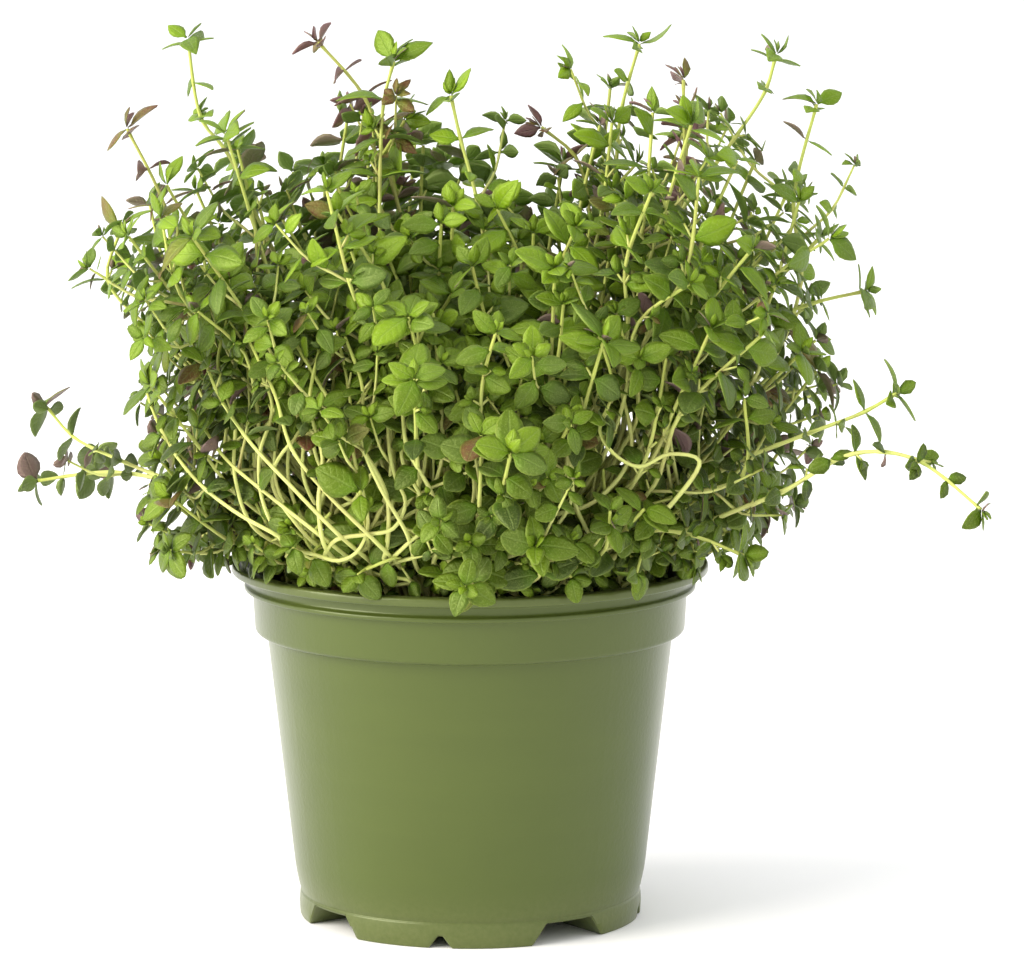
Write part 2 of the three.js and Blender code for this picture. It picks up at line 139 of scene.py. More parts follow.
def newGroup(name, inputs, outputs):
    tree = bpy.data.node_groups.new(name, "ShaderNodeTree")
    for label, kind, value in inputs:
        tree.interface.new_socket(label, in_out="INPUT", socket_type=kind).default_value = value
    for label, kind in outputs:
        tree.interface.new_socket(label, in_out="OUTPUT", socket_type=kind)
    return tree, tree.nodes.new("NodeGroupInput"), tree.nodes.new("NodeGroupOutput")


def placeGroup(tree, group, inputs):
    return addNode(tree, "ShaderNodeGroup", inputs, node_tree=group)


def makeMottle():
    # Soft cloudy patches and a fine grain at one scale each, in the object's own space
    tree, into, out = newGroup(
        "softMottle",
        [("Patch Scale", "NodeSocketFloat", 60.0), ("Grain Scale", "NodeSocketFloat", 1500.0),
         ("Contrast", "NodeSocketFloat", 0.2)],
        [("Patches", "NodeSocketFloat"), ("Grain", "NodeSocketFloat")],
    )
    place = addNode(tree, "ShaderNodeTexCoord").outputs["Object"]
    patches = noiseAt(tree, place, into.outputs["Patch Scale"], 4.0, 0.55)
    grain = noiseAt(tree, place, into.outputs["Grain Scale"], 2.0, 0.6)
    low = mathNode(tree, "SUBTRACT", 0.5, into.outputs["Contrast"])
    high = mathNode(tree, "ADD", 0.5, into.outputs["Contrast"])
    tree.links.new(stretchRange(tree, patches, low, high), out.inputs["Patches"])
    tree.links.new(grain, out.inputs["Grain"])
    return tree


softMottle = makeMottle()

# Camera, lights and floor

cameraSetup = {
    "place": (10.04, -1200, 275.3),
    "pitchDown": 8.12,  # degrees
    "lens": 178.49,
    "sensor": 36,
    "farthest": 50,  # metres
}

studio = {
    "surroundings": 1.22,
    "surroundingsColour": "FFFFFF",
    "keyPlace": (-1900, -900, 1150),
    "keySize": 2000,
    "keyPower": 84,
    "keyColour": "FFF8EE",
    "aim": (0, 0, 110),
    "floorSize": 16000,
    "floorColour": "FFFFFF",
    "floorPatches": "FAFAFB",
    "floorRoughness": 0.75,
}


def makeCamera():
    camera = bpy.data.objects.new("camera", bpy.data.cameras.new("camera"))
    camera.location = Vector(cameraSetup["place"]) * metre
    camera.rotation_euler = (math.radians(90 - cameraSetup["pitchDown"]), 0, 0)
    camera.data.sensor_width = cameraSetup["sensor"]
    camera.data.lens = cameraSetup["lens"]
    camera.data.clip_end = cameraSetup["farthest"]
    bpy.context.scene.collection.objects.link(camera)
    bpy.context.scene.camera = camera


def makeFloorFinish():
    material, tree = newMaterial("paleFloor")
    mottle = placeGroup(tree, softMottle, {"Patch Scale": 3.0, "Grain Scale": 700.0, "Contrast": 0.3})
    colour = blendColours(tree, mottle.outputs["Patches"], paint(studio["floorPatches"]),
                          paint(studio["floorColour"]))
    shader = addNode(tree, "ShaderNodeBsdfPrincipled",
                     {"Base Color": colour, "Roughness": studio["floorRoughness"]})
    showShader(tree, shader)
    return material


def makeStudio():
    world = bpy.data.worlds.new("studio")
    world.use_nodes = True
    world.node_tree.nodes["Background"].inputs["Color"].default_value = paint(studio["surroundingsColour"])
    world.node_tree.nodes["Background"].inputs["Strength"].default_value = studio["surroundings"]
    bpy.context.scene.world = world
    light = bpy.data.lights.new("softKey", "AREA")
    light.shape = "DISK"
    light.size = studio["keySize"] * metre
    light.energy = studio["keyPower"]
    light.color = paint(studio["keyColour"])[:3]
    key = bpy.data.objects.new("softKey", light)
    key.location = Vector(studio["keyPlace"]) * metre
    aim = Vector(studio["aim"]) * metre
    key.rotation_euler = (aim - key.location).to_track_quat("-Z", "Y").to_euler()
    bpy.context.scene.collection.objects.link(key)
    half = studio["floorSize"] / 2
    floor = makePiece("floor", [(-half, -half, 0), (half, -half, 0), (half, half, 0), (-half, half, 0)],
                      [(0, 1, 2, 3)], [makeFloorFinish()])
    floor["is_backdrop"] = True
    bpy.context.scene.view_settings.view_transform = "Standard"


makeCamera()
makeStudio()
print("camera, light and floor are in place")

# Pot

potShape = {
    "height": 85.5,
    "lipRadius": 57,
    "lipThickness": 2.1,
    "lipRound": 0.75,
    "mouthRadius": 53.4,
    "flareRadius": 54.0,
    "flareBottom": 79.3,
    "beadTop": 80.4,  # of the ring under the lip
    "hollow": 82.6,
    "hollowRadius": 53.1,
    "collarTop": 79,
    "collarTopRadius": 52,
    "collarBottom": 69,
    "collarBottomRadius": 51.4,
    "collarRound": 1.6,
    "bodyTopRadius": 48.6,
    "bodyBottomRadius": 42,
    "bodyBottom": 11,
    "seamRadius": 40.8,
    "seam": 6,
    "wall": 1.1,
    "floorTop": 6.1,
    "arcSteps": 5,
}

footShape = {
    "turn": -9.5,  # degrees from the front towards the right, the middle of the first foot
    "count": 4,
    "innerRadius": 26,
    "bottomRadius": 41,
    "bulge": 0.2,
    "plateUnderside": 5,
    "channelBottom": 20,
    "channelTop": 13,
    "vBottom": 5.4,
    "vTop": 1.2,
    "vHeight": 2.8,
    "edge": 0.22,  # softness of the moulded edges
    "plainColumns": 11,
    "plateRadii": (0.5, 12),  # of the plate's inner rows
    "soleSteps": (0.6, 5, 10, 14.2),  # rows under a foot, from its inner edge
    "rounding": 0.45,  # height in which a foot's lower edge turns up
    "sideLift": 0.5,  # least height of a foot's side above its underside
}


def filleted(outline, steps):
    # An outline of (radius, height, rounding) corners with an arc at each rounded one
    points = []
    for i, (r, z, rounding) in enumerate(outline):
        here = np.array([r, z], float)
        if rounding == 0:
            points.append(here)
            continue
        before = np.array(outline[i - 1][:2], float) - here
        after = np.array(outline[i + 1][:2], float) - here
        before = here + before / np.linalg.norm(before) * rounding
        after = here + after / np.linalg.norm(after) * rounding
        for share in np.linspace(0, 1, steps):
            points.append((1 - share) ** 2 * before + 2 * share * (1 - share) * here + share ** 2 * after)
    return points


def footColumns():
    # Each column's place in its eighth of the pot: a distance from the channel's middle or the foot's middle,
    # or a share of the plain stretch between them
    half = footShape["channelBottom"] / 2
    top = footShape["channelTop"] / 2
    edge = footShape["edge"]
    channel = [0, top / 2, top - edge, top + edge, (top + half) / 2, half - edge, half + edge]
    vBottom = footShape["vBottom"] / 2
    vTop = footShape["vTop"] / 2
    vee = [vBottom + edge, vBottom - edge, (vBottom + vTop) / 2, vTop + edge / 2, vTop - edge / 2, 0]
    count = footShape["plainColumns"]
    places = [("channel", w) for w in channel]
    places += [("plain", (k + 1) / (count + 1)) for k in range(count)]
    places += [("vee", w) for w in vee]
    return places, channel[-1], vee[0]


def columnTurn(place, radius, channelEdge, veeEdge):
    # Degrees from the middle of the channel, for an eighth of the pot
    kind, value = place
    eighth = 180 / footShape["count"]
    reach = max(radius, footShape["innerRadius"])
    if kind == "channel":
        return math.degrees(math.asin(value / reach))
    if kind == "vee":
        return eighth - math.degrees(math.asin(value / reach))
    start = math.degrees(math.asin(channelEdge / reach))
    end = eighth - math.degrees(math.asin(veeEdge / reach))
    return start + (end - start) * value


def undersideHeight(place):
    kind, value = place
    if kind == "plain":
        return 0
    keys = {"channel": ("channelBottom", "channelTop", "plateUnderside"),
            "vee": ("vBottom", "vTop", "vHeight")}
    bottom, top, height = (footShape[key] for key in keys[kind])
    rise = (bottom / 2 - value) / (bottom / 2 - top / 2)
    return height * min(1, max(0, rise))


def potColumns():
    # Every column round the pot: its place in an eighth, the channel that it is counted from,
    # and to which side
    places, channelEdge, veeEdge = footColumns()
    columns = []
    pitch = 360 / footShape["count"]
    for k in range(footShape["count"]):
        middle = footShape["turn"] + pitch * (k + 0.5)
        columns += [(place, middle, 1) for place in places]
        columns += [(place, middle + pitch, -1) for place in reversed(places[1:-1])]
    return columns, channelEdge, veeEdge


def potRows():
    # The pot's section from the middle of its underside, out, up, over the lip and down inside.
    # Each row is a radius, a height, and how far the height follows the feet's underside
    p = potShape
    f = footShape
    plate = f["plateUnderside"]
    rows = [(radius, plate, 0) for radius in (*f["plateRadii"], f["innerRadius"] - 0.3)]
    rows.append((f["innerRadius"] + 0.1, plate, 1))
    rows += [(f["innerRadius"] + r, 0, 1) for r in f["soleSteps"]]
    rows += [(f["bottomRadius"] - 0.15, 0.12, 1), (f["bottomRadius"], f["rounding"], 1)]
    outside = filleted([
        (f["bottomRadius"] + f["bulge"], p["seam"] / 2, 0),
        (f["bottomRadius"], p["seam"] - 0.3, 0.25),
        (p["seamRadius"] - 0.12, p["seam"], 0.2),
        (p["seamRadius"] + 0.25, p["seam"] + 0.9, 0.5),
        (p["bodyBottomRadius"], p["bodyBottom"], 2.6),
        (p["bodyTopRadius"], p["collarBottom"] - 0.15, 0.5),
        (p["collarBottomRadius"], p["collarBottom"], 1.25),
        (p["collarTopRadius"], p["flareBottom"] - 0.15, 0.4),
        (p["flareRadius"], p["flareBottom"] + 0.1, 0.35),
        (p["flareRadius"], p["beadTop"], 0.4),
        (p["hollowRadius"], p["beadTop"] + 0.35, 0.6),
        (p["hollowRadius"], p["hollow"], 0.4),
        (p["hollowRadius"] + 0.6, p["height"] - p["lipThickness"] - 0.1, 0.4),
        (p["lipRadius"], p["height"] - p["lipThickness"], 0.55),
        (p["lipRadius"], p["height"], p["lipRound"]),
        (p["mouthRadius"], p["height"], 0.6),
        (p["mouthRadius"] - 0.15, p["height"] - 1.2, 0.6),
        (p["hollowRadius"] - p["wall"], p["hollow"] + 0.2, 1.0),
        (p["collarTopRadius"] - p["wall"], p["collarTop"], 1.2),
        (p["collarBottomRadius"] - p["wall"], p["collarBottom"] + p["collarRound"], 0.8),
        (p["bodyTopRadius"] - p["wall"], p["collarBottom"], 0.6),
        (p["bodyBottomRadius"] - 2 * p["wall"], p["floorTop"], 0),
        (f["plateRadii"][0], p["floorTop"], 0),
    ], p["arcSteps"])
    return rows + [(r, z, 0) for r, z in outside]


def potPoints():
    columns, channelEdge, veeEdge = potColumns()
    seam = potShape["seam"]
    points = []
    for radius, height, follows in potRows():
        for place, middle, side in columns:
            turn = math.radians(middle + side * columnTurn(place, radius, channelEdge, veeEdge))
            z = height
            under = undersideHeight(place)
            if follows:
                z = max(height, under + min(height, footShape["rounding"]))
            elif height < seam and radius > footShape["innerRadius"]:
                z = max(height, under + footShape["sideLift"])
            points.append((radius * math.sin(turn), -radius * math.cos(turn), z))
    return points, len(columns)


def gridFaces(rowCount, columnCount):
    faces = []
    for i in range(rowCount - 1):
        for k in range(columnCount):
            after = (k + 1) % columnCount
            faces.append((i * columnCount + k, i * columnCount + after,
                          (i + 1) * columnCount + after, (i + 1) * columnCount + k))
    faces.append(tuple(reversed(range(columnCount))))
    faces.append(tuple(range((rowCount - 1) * columnCount, rowCount * columnCount)))
    return faces


potFinish = {
    "colour": "465220",
    "light": "505C25",
    "dark": "444F20",
    "dust": "6C7047",
    "sheen": "E8F4C8",
    "roughness": 0.3,
    "gloss": 0.15,
    "glossRoughness": 0.18,
    "flowScale": (14, 14, 120),
    "scuffScale": (420, 420, 30),
}


def makePotFinish():
    material, tree = newMaterial("satinNurseryPlastic")
    mottle = placeGroup(tree, softMottle, {"Patch Scale": 24.0, "Grain Scale": 900.0, "Contrast": 0.25})
    colour = blendColours(tree, mottle.outputs["Patches"], paint(potFinish["dark"]),
                          paint(potFinish["colour"]))
    place = addNode(tree, "ShaderNodeTexCoord").outputs["Object"]
    height = addNode(tree, "ShaderNodeSeparateXYZ", {0: place}).outputs["Z"]
    flow = noiseAt(tree, stretchedPlace(tree, place, potFinish["flowScale"]), 1.0, 3.0)
    flowMask = stretchRange(tree, flow, 0.42, 0.7, 0.0, 0.12)
    colour = blendColours(tree, flowMask, colour, paint(potFinish["light"]))
    low = stretchRange(tree, height, 0.016, 0.002, 0.0, 0.5)
    rim = stretchRange(tree, height, 0.082, 0.0855, 0.0, 0.3)
    dusty = mathNode(tree, "MULTIPLY", mathNode(tree, "MAXIMUM", low, rim), mottle.outputs["Grain"])
    colour = blendColours(tree, dusty, colour, paint(potFinish["dust"]))
    scuffs = noiseAt(tree, stretchedPlace(tree, place, potFinish["scuffScale"]), 1.0, 5.0, 0.7)
    rough = stretchRange(tree, scuffs, 0.35, 0.75, potFinish["roughness"] - 0.008,
                         potFinish["roughness"] + 0.014)
    bumpHeight = mathNode(tree, "ADD", mottle.outputs["Grain"],
                          mathNode(tree, "MULTIPLY", mottle.outputs["Patches"], 1.6))
    bump = addNode(tree, "ShaderNodeBump", {"Strength": 0.12, "Distance": 0.0004, "Height": bumpHeight})
    shader = addNode(tree, "ShaderNodeBsdfPrincipled", {
        "Base Color": colour, "Roughness": rough, "IOR": 1.5, "Specular Tint": paint(potFinish["sheen"]),
        "Coat Weight": potFinish["gloss"], "Coat Roughness": potFinish["glossRoughness"],
        "Normal": bump.outputs[0]})
    showShader(tree, shader)
    return material


def makePot():
    points, columnCount = potPoints()
    piece = makePiece("nursery_pot", points, gridFaces(len(points) // columnCount, columnCount),
                      [makePotFinish()], smoothAngle=40)
    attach(piece, "root")
    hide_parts("pot")


makePot()
print("pot is made")

# Soil

soilShape = {
    "top": 75.2,
    "crown": 0.8,
    "bump": 0.7,
    "bumpPitch": 9,
    "bumpShift": 1.3,
    "relief": (0.34, 0.16),  # of the small lumps, and of the finest ones
    "edgeRelief": 0.3,  # share of it at the edge, and what comes to that further in
    "innerRelief": 0.7,
    "sunk": 0.3,
    "wallGap": 0.36,
    "stepGap": 0.75,
    "edge": 50,
    "rings": 70,
    "turns": 200,
    "crumbs": 900,
    "crumbSize": (0.5, 1.7),
    "seed": 5,
}


def soilHeight(x, y):
    s = soilShape
    middle = 1 - math.hypot(x, y) / potShape["mouthRadius"]
    broad = math.sin(x / s["bumpPitch"] + s["bumpShift"]) * math.cos(y / s["bumpPitch"])
    waves = broad + math.sin((x - 2 * y) / s["bumpPitch"])
    return s["top"] + s["crown"] * middle + s["bump"] * waves / 2


def crumbRelief(x, y):
    # Small lumps between pits, from sines that never line up
    fine = math.sin(x * 2.1 + 1.7 * math.sin(y * 1.3)) * math.sin(y * 2.3 + 1.9 * math.sin(x * 1.1))
    finer = math.sin(x * 4.7 + 2.3 * math.sin(y * 3.1)) * math.sin(y * 4.3 + 1.3 * math.sin(x * 3.7))
    return soilShape["relief"][0] * fine + soilShape["relief"][1] * finer


def soilBody():
    s = soilShape
    p = potShape
    points = []
    radii = [s["edge"] * (i + 1) / s["rings"] for i in range(s["rings"])]
    for radius in radii:
        for k in range(s["turns"]):
            turn = 2 * math.pi * k / s["turns"]
            x = radius * math.cos(turn)
            y = radius * math.sin(turn)
            share = s["edgeRelief"] + s["innerRelief"] * min(1, (s["edge"] - radius) / 2)
            points.append((x, y, soilHeight(x, y) + crumbRelief(x, y) * share - s["sunk"]))
    sides = [(s["edge"], p["collarBottom"] + p["collarRound"] + s["stepGap"]),
             (p["bodyTopRadius"] - p["wall"] - s["wallGap"], p["collarBottom"] + 0.85),
             (p["bodyBottomRadius"] - 2 * p["wall"] - s["wallGap"], p["floorTop"] + 0.3)]
    for radius, height in sides:
        for k in range(s["turns"]):
            turn = 2 * math.pi * k / s["turns"]
            points.append((radius * math.cos(turn), radius * math.sin(turn), height))
    rowCount = s["rings"] + len(sides)
    faces = [tuple(reversed(face)) for face in gridFaces(rowCount, s["turns"])]
    return points, faces


def lumpPoints(centre, size, draw):
    # A crumb: an eight-cornered lump with each corner pushed by its own draw, and faces between them
    corners = [(x, y, z) for z in (-1, 1) for x, y in ((-1, -1), (1, -1), (1, 1), (-1, 1))]
    turn = draw.uniform(0, math.pi)
    flat = draw.uniform(0.5, 0.9)
    points = []
    for x, y, z in corners:
        push = draw.uniform(0.45, 1.0)
        px = (x * math.cos(turn) - y * math.sin(turn)) * push * size / 2
        py = (x * math.sin(turn) + y * math.cos(turn)) * push * size / 2
        points.append((centre[0] + px, centre[1] + py, centre[2] + z * push * flat * size / 2))
    faces = [(0, 3, 2, 1), (4, 5, 6, 7), (0, 1, 5, 4), (1, 2, 6, 5), (2, 3, 7, 6), (3, 0, 4, 7)]
    return points, faces


soilFinish = {
    "dark": "110C07",
    "light": "2C2116",
    "fleck": "523F2A",
    "fleckScale": 420.0,
    "roughness": (0.78, 0.97),
    "gloss": 0.3,
}


def makeSoilFinish():
    material, tree = newMaterial("dampPottingSoil")
    mottle = placeGroup(tree, softMottle, {"Patch Scale": 220.0, "Grain Scale": 2600.0, "Contrast": 0.18})
    colour = blendColours(tree, mottle.outputs["Patches"], paint(soilFinish["dark"]),
                          paint(soilFinish["light"]))
    place = addNode(tree, "ShaderNodeTexCoord").outputs["Object"]
    flecks = addNode(tree, "ShaderNodeTexVoronoi", {"Vector": place, "Scale": soilFinish["fleckScale"]})
    fleck = stretchRange(tree, flecks.outputs["Distance"], 0.16, 0.08, 0.0, 0.55)
    colour = blendColours(tree, fleck, colour, paint(soilFinish["fleck"]))
    bump = addNode(tree, "ShaderNodeBump",
                   {"Strength": 0.6, "Distance": 0.0006, "Height": mottle.outputs["Grain"]})
    rough = stretchRange(tree, mottle.outputs["Patches"], 0.0, 1.0, *soilFinish["roughness"])
    shader = addNode(tree, "ShaderNodeBsdfPrincipled", {
        "Base Color": colour, "Roughness": rough, "Specular IOR Level": soilFinish["gloss"],
        "Normal": bump.outputs[0]})
    showShader(tree, shader)
    return material


def makeSoil():
    draw = np.random.RandomState(soilShape["seed"])
    points, faces = soilBody()
    for _ in range(soilShape["crumbs"]):
        out = (soilShape["edge"] - 2) * math.sqrt(draw.uniform())
        turn = draw.uniform(0, 2 * math.pi)
        size = draw.uniform(*soilShape["crumbSize"]) * draw.uniform(0.7, 1)
        x = out * math.cos(turn)
        y = out * math.sin(turn)
        lump, lumpFaces = lumpPoints((x, y, soilHeight(x, y) - 0.1), size, draw)
        faces += [tuple(k + len(points) for k in face) for face in lumpFaces]
        points += lump
    piece = makePiece("potting_soil", points, faces, [makeSoilFinish()], smoothAngle=60)
    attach(piece, "root")
    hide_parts("soil")


makeSoil()
print("soil is made")

# Plant: where the shoots and their largest leaves stand

stemShape = {
    "width": 1.3,
    "rootDepth": 8,
    "neck": 1.5,
    "bud": 1.3,
    "apart": 2.4,
    "reach": 0.98,
    "bends": (0.36, 0.7),
    "climbOut": 0.12,
    "climbUp": (0.9, 0.45),
    "climbLeast": 14,
    "approach": 0.35,
    "longRise": 0.6,
}

leafShape = {
    "heel": 0.25,
    "widthShare": 0.6,
    "bend": 0.17,
    "gap": 0.3,
}

leafing = {
    "taper": (1, 0.88),
    "tipTaper": 0.8,
    "spread": (0.93, 1.07),
    "lean": (52, 68),
    "tipLean": 42,
    "twist": 0.35,
    "tries": 5,
    "tryTwist": 0.4,
    "clearFrom": 0.28,
    "clearTo": 0.9,
    "clearWidth": 0.42,
}

crown = {
    "seed": 37,
    "heart": (4, 0, 96),
    "domes": [((-36, 0, 138), (54, 74, 58)), ((6, 0, 126), (50, 82, 48)), ((50, 0, 138), (40, 70, 60))],
    "shoots": 30,
    "lowest": -0.05,
    "highest": 0.98,
    "tries": 40,
    "turnSpread": 0.25,
    "baseSpread": 0.3,
    "tipShare": (0.9, 1),
    "baseRadius": 41,
    "baseShare": (0.9, 1),
    "uplift": 0.35,
    "pairEvery": 26,
    "leastPairs": 2,
    "mostPairs": 4,
    "leafyShare": 0.62,
    "sway": 14,
    "crowding": 0.25,
    "leafLength": (8.8, 10.8),
}

# Each long shoot's foot, its longest leaf, whether it is red, and where its leaf pairs sit
longShoots = {
    "shoot_tall_left": ((-22, 7), 8, False,
                        [(-48, 14, 160), (-58.5, 12, 183), (-64, 12, 190), (-67, 12, 208)]),
    "shoot_red_left": ((-29, -7), 8, True, [(-69, -5, 152), (-72, -5, 171), (-80, -5, 188)]),
    "shoot_red_top_left": ((-12, 8), 7.5, True, [(-20, 7, 180), (-25, 5, 196), (-35, 5, 208)]),
    "shoot_top_left": ((-14, -8), 10, False, [(-21, -9, 178), (-20, -8, 196), (-18, -8, 204)]),
    "shoot_top_middle": ((-3, -12), 8, False, [(2, -12, 172), (-2, -10, 187), (-4, -10, 196)]),
    "shoot_red_middle": ((9, 4), 6.5, True, [(28, 5, 172), (25, 5, 182), (18, 5, 188)]),
    "shoot_tall_middle": ((13, 11), 7.5, False, [(34, 11, 168), (36, 10, 192), (40, 10, 207)]),
    "shoot_red_top": ((20, -14), 7.5, True, [(50, -15, 180), (50, -15, 200)]),
    "shoot_tall_right": ((24, 2), 7.5, False, [(52, 0, 172), (63, 0, 187), (70, 0, 198), (72, 0, 205)]),
    "shoot_right_tip": ((31, 9), 7.5, False, [(79, 6, 152), (77, 5, 171), (82, 5, 193)]),
    "shoot_right_upper": ((33, -12), 7.5, False, [(70, -20, 153), (81, -20, 164)]),
    "shoot_right_side": ((37, -3), 8, False, [(80, -9, 148), (92, -10, 151)]),
    "sprawl_right": ((35, -18), 7.5, False, [(78, -38, 121), (91, -44, 127), (97, -47, 131)]),
    "sprawl_far_right": ((30, -27), 6.5, False,
                         [(72, -42, 108), (88, -56, 119), (101, -66, 119), (114, -77, 110)]),
    "sprawl_low_right": ((23, -32), 7.5, False, [(50, -46, 99), (62, -50, 95)]),
    "sprawl_far_left": ((-32, 19), 7, False, [(-72, 36, 99), (-90, 56, 99), (-110, 76, 94)]),
    "sprawl_left": ((-37, 10), 7.5, False, [(-84, 17, 107), (-97, 26, 112), (-103, 30, 118)]),
    "shoot_left_side": ((-36, -1), 8.5, False, [(-76, 0, 141), (-86, 0, 153), (-83, 0, 164)]),
}


# Points and directions are plain triples here, so that each step rounds as the solids' source does

def plus(a, b):
    return (a[0] + b[0], a[1] + b[1], a[2] + b[2])


def minus(a, b):
    return (a[0] - b[0], a[1] - b[1], a[2] - b[2])


def times(a, k):
    return (a[0] * k, a[1] * k, a[2] * k)


def dot(a, b):
    return a[0] * b[0] + a[1] * b[1] + a[2] * b[2]


def cross(a, b):
    return (a[1] * b[2] - a[2] * b[1], a[2] * b[0] - a[0] * b[2], a[0] * b[1] - a[1] * b[0])


def size(a):
    return math.sqrt(dot(a, a))


def unit(a):
    return times(a, 1 / (size(a) or 1))


def along(start, way, distance):
    return (start[0] + way[0] * distance, start[1] + way[1] * distance, start[2] + way[2] * distance)


def squareTo(way, axis):
    # What of a way is square to an axis
    return unit(along(way, axis, -dot(way, axis)))


def leaned(way, side, lean):
    return along(times(way, math.cos(lean)), side, math.sin(lean))


def mixed(a, b, share):
    return a + (b - a) * share


def between(a, b, share):
    return along(a, minus(b, a), share)


def spun(point, axis, turn):
    half = turn / 2
    q = times(axis, math.sin(half))
    t = times(cross(q, point), 2)
    return plus(plus(point, times(t, math.cos(half))), cross(q, t))


def drawsFrom(seed):
    # Seeded draws from 0 to 1
    state = seed
    mask = 0xFFFFFFFF

    def draw():
        nonlocal state
        state = (state + 0x6D2B79F5) & mask
        mix = ((state ^ (state >> 15)) * (state | 1)) & mask
        mix = ((mix + (((mix ^ (mix >> 7)) * (mix | 61)) & mask)) & mask) ^ mix
        return ((mix ^ (mix >> 14)) & mask) / 4294967296

    return draw


def stretchDistance(a, b, c, d):
    u = minus(b, a)
    v = minus(d, c)
    w = minus(a, c)
    uu = dot(u, u)
    uv = dot(u, v)
    vv = dot(v, v)
    uw = dot(u, w)
    vw = dot(v, w)
    across = uu * vv - uv * uv
    s = min(1, max(0, (uv * vw - vv * uw) / across)) if across > 1e-9 else 0
    t = (uv * s + vw) / vv
    if t < 0:
        t = 0
        s = min(1, max(0, -uw / uu))
    elif t > 1:
        t = 1
        s = min(1, max(0, (uv - uw) / uu))
    return size(minus(along(a, u, s), along(c, v, t)))


def meetsPot(point, radius):
    out = math.hypot(point[0], point[1])
    inside = potShape["collarBottomRadius"] - 2 * potShape["wall"] - radius
    return inside < out < potShape["lipRadius"] + radius and point[2] < potShape["height"] + radius


def meetsSoil(point, radius):
    top = soilShape["top"] + soilShape["crown"] + soilShape["bump"]
    return math.hypot(point[0], point[1]) < potShape["lipRadius"] and point[2] < top + radius


def curvePoint(corners, t):
    back = 1 - t
    point = times(corners[0], back ** 3)
    point = along(point, corners[1], 3 * back * back * t)
    point = along(point, corners[2], 3 * back * t * t)
    return along(point, corners[3], t ** 3)


def stemPath(base, pairs, way, rise):
    # A stem's corner points: its foot in the soil, its neck, the bends below the leaves, each leaf pair
    # and the bud
    s = stemShape
    ground = (base[0], base[1], soilShape["top"] + s["neck"])
    first = pairs[0]
    height = first[2] - ground[2]
    reach = math.hypot(first[0] - ground[0], first[1] - ground[1])
    out = unit((first[0] - ground[0], first[1] - ground[1], 0))
    climb = along(ground, out, s["climbOut"] * reach)
    up = mixed(max(s["climbLeast"], s["climbUp"][0] * height), s["climbUp"][1] * height, rise)
    climb = (climb[0], climb[1], climb[2] + up)
    corners = [ground, climb, along(first, way, -s["approach"] * math.hypot(reach, height)), first]
    tipWay = unit(minus(pairs[-1], pairs[-2]))
    root = (base[0], base[1], soilShape["top"] - s["rootDepth"])
    bends = [curvePoint(corners, share) for share in s["bends"]]
    return [root, ground, *bends, *pairs, along(pairs[-1], tipWay, s["bud"])]


def clearOfStems(path, paths, apart):
    for a, b in zip(path[1:], path[2:]):
        for share in (0.25, 0.5, 0.75, 1):
            if meetsPot(between(a, b, share), stemShape["width"]):
                return False
        for other in paths:
            for c, d in zip(other, other[1:]):
                if stretchDistance(a, b, c, d) < apart:
                    return False
    return True


def crownReach(way):
    far = 0
    for centre, radii in crown["domes"]:
        start = tuple((h - c) / r for h, c, r in zip(crown["heart"], centre, radii))
        step = tuple(w / r for w, r in zip(way, radii))
        a = dot(step, step)
        b = dot(start, step)
        c = dot(start, start) - 1
        inside = b * b - a * c
        if inside > 0:
            far = max(far, (-b + math.sqrt(inside)) / a)
    return far


goldenTurn = math.pi * (3 - math.sqrt(5))


def layShoot(share, k, draw, rise, tipShare, baseOut):
    # One draw of a crown shoot: its foot, its leaf pairs and the way that its tip points
    even = k * goldenTurn
    turn = even + crown["crowding"] * math.sin(2 * even) + crown["turnSpread"] * (2 * draw() - 1)
    level = math.sqrt(1 - rise * rise)
    way = (level * math.cos(turn), level * math.sin(turn), rise)
    tip = along(crown["heart"], way, crownReach(way) * mixed(*tipShare, draw()))
    baseTurn = turn + crown["baseSpread"] * (2 * draw() - 1)
    out = baseOut * mixed(*crown["baseShare"], draw())
    base = (out * math.cos(baseTurn), out * math.sin(baseTurn))
    ground = (base[0], base[1], soilShape["top"])
    tipWay = unit(minus(tip, ground))
    tipWay = unit((tipWay[0], tipWay[1], tipWay[2] + crown["uplift"] * share))
    sway = times((-math.sin(turn), math.cos(turn), 0), crown["sway"] * (draw() - 0.5))
    length = size(minus(tip, ground))
    wanted = math.floor(length / crown["pairEvery"] + 0.5)
    count = max(crown["leastPairs"], min(crown["mostPairs"], wanted))
    pitch = crown["leafyShare"] * length / count
    pairs = [along(along(tip, tipWay, -i * pitch), sway, i / count) for i in range(count - 1, -1, -1)]
    return base, pairs, tipWay


def layShoots():
    draw = drawsFrom(crown["seed"])
    shoots = []
    for name, (base, leaf, red, pairs) in longShoots.items():
        way = unit(minus(pairs[1], pairs[0]))
        path = stemPath(base, pairs, way, stemShape["longRise"])
        shoots.append({"name": name, "red": red, "leaf": leaf, "pairs": len(pairs), "path": path})
    for k in range(crown["shoots"]):
        share = (k + 0.5) / crown["shoots"]
        rise = mixed(crown["lowest"], crown["highest"], share)
        for _ in range(crown["tries"]):
            baseOut = crown["baseRadius"] * math.sqrt(1 - share)
            base, pairs, way = layShoot(share, k, draw, rise, crown["tipShare"], baseOut)
            path = stemPath(base, pairs, way, share)
            if clearOfStems(path, [shoot["path"] for shoot in shoots], stemShape["apart"]):
                leaf = mixed(*crown["leafLength"], draw())
                name = f"shoot_{len(shoots) - len(longShoots) + 1:02d}"
                shoots.append({"name": name, "red": False, "leaf": leaf, "pairs": len(pairs), "path": path})
                break
    return shoots


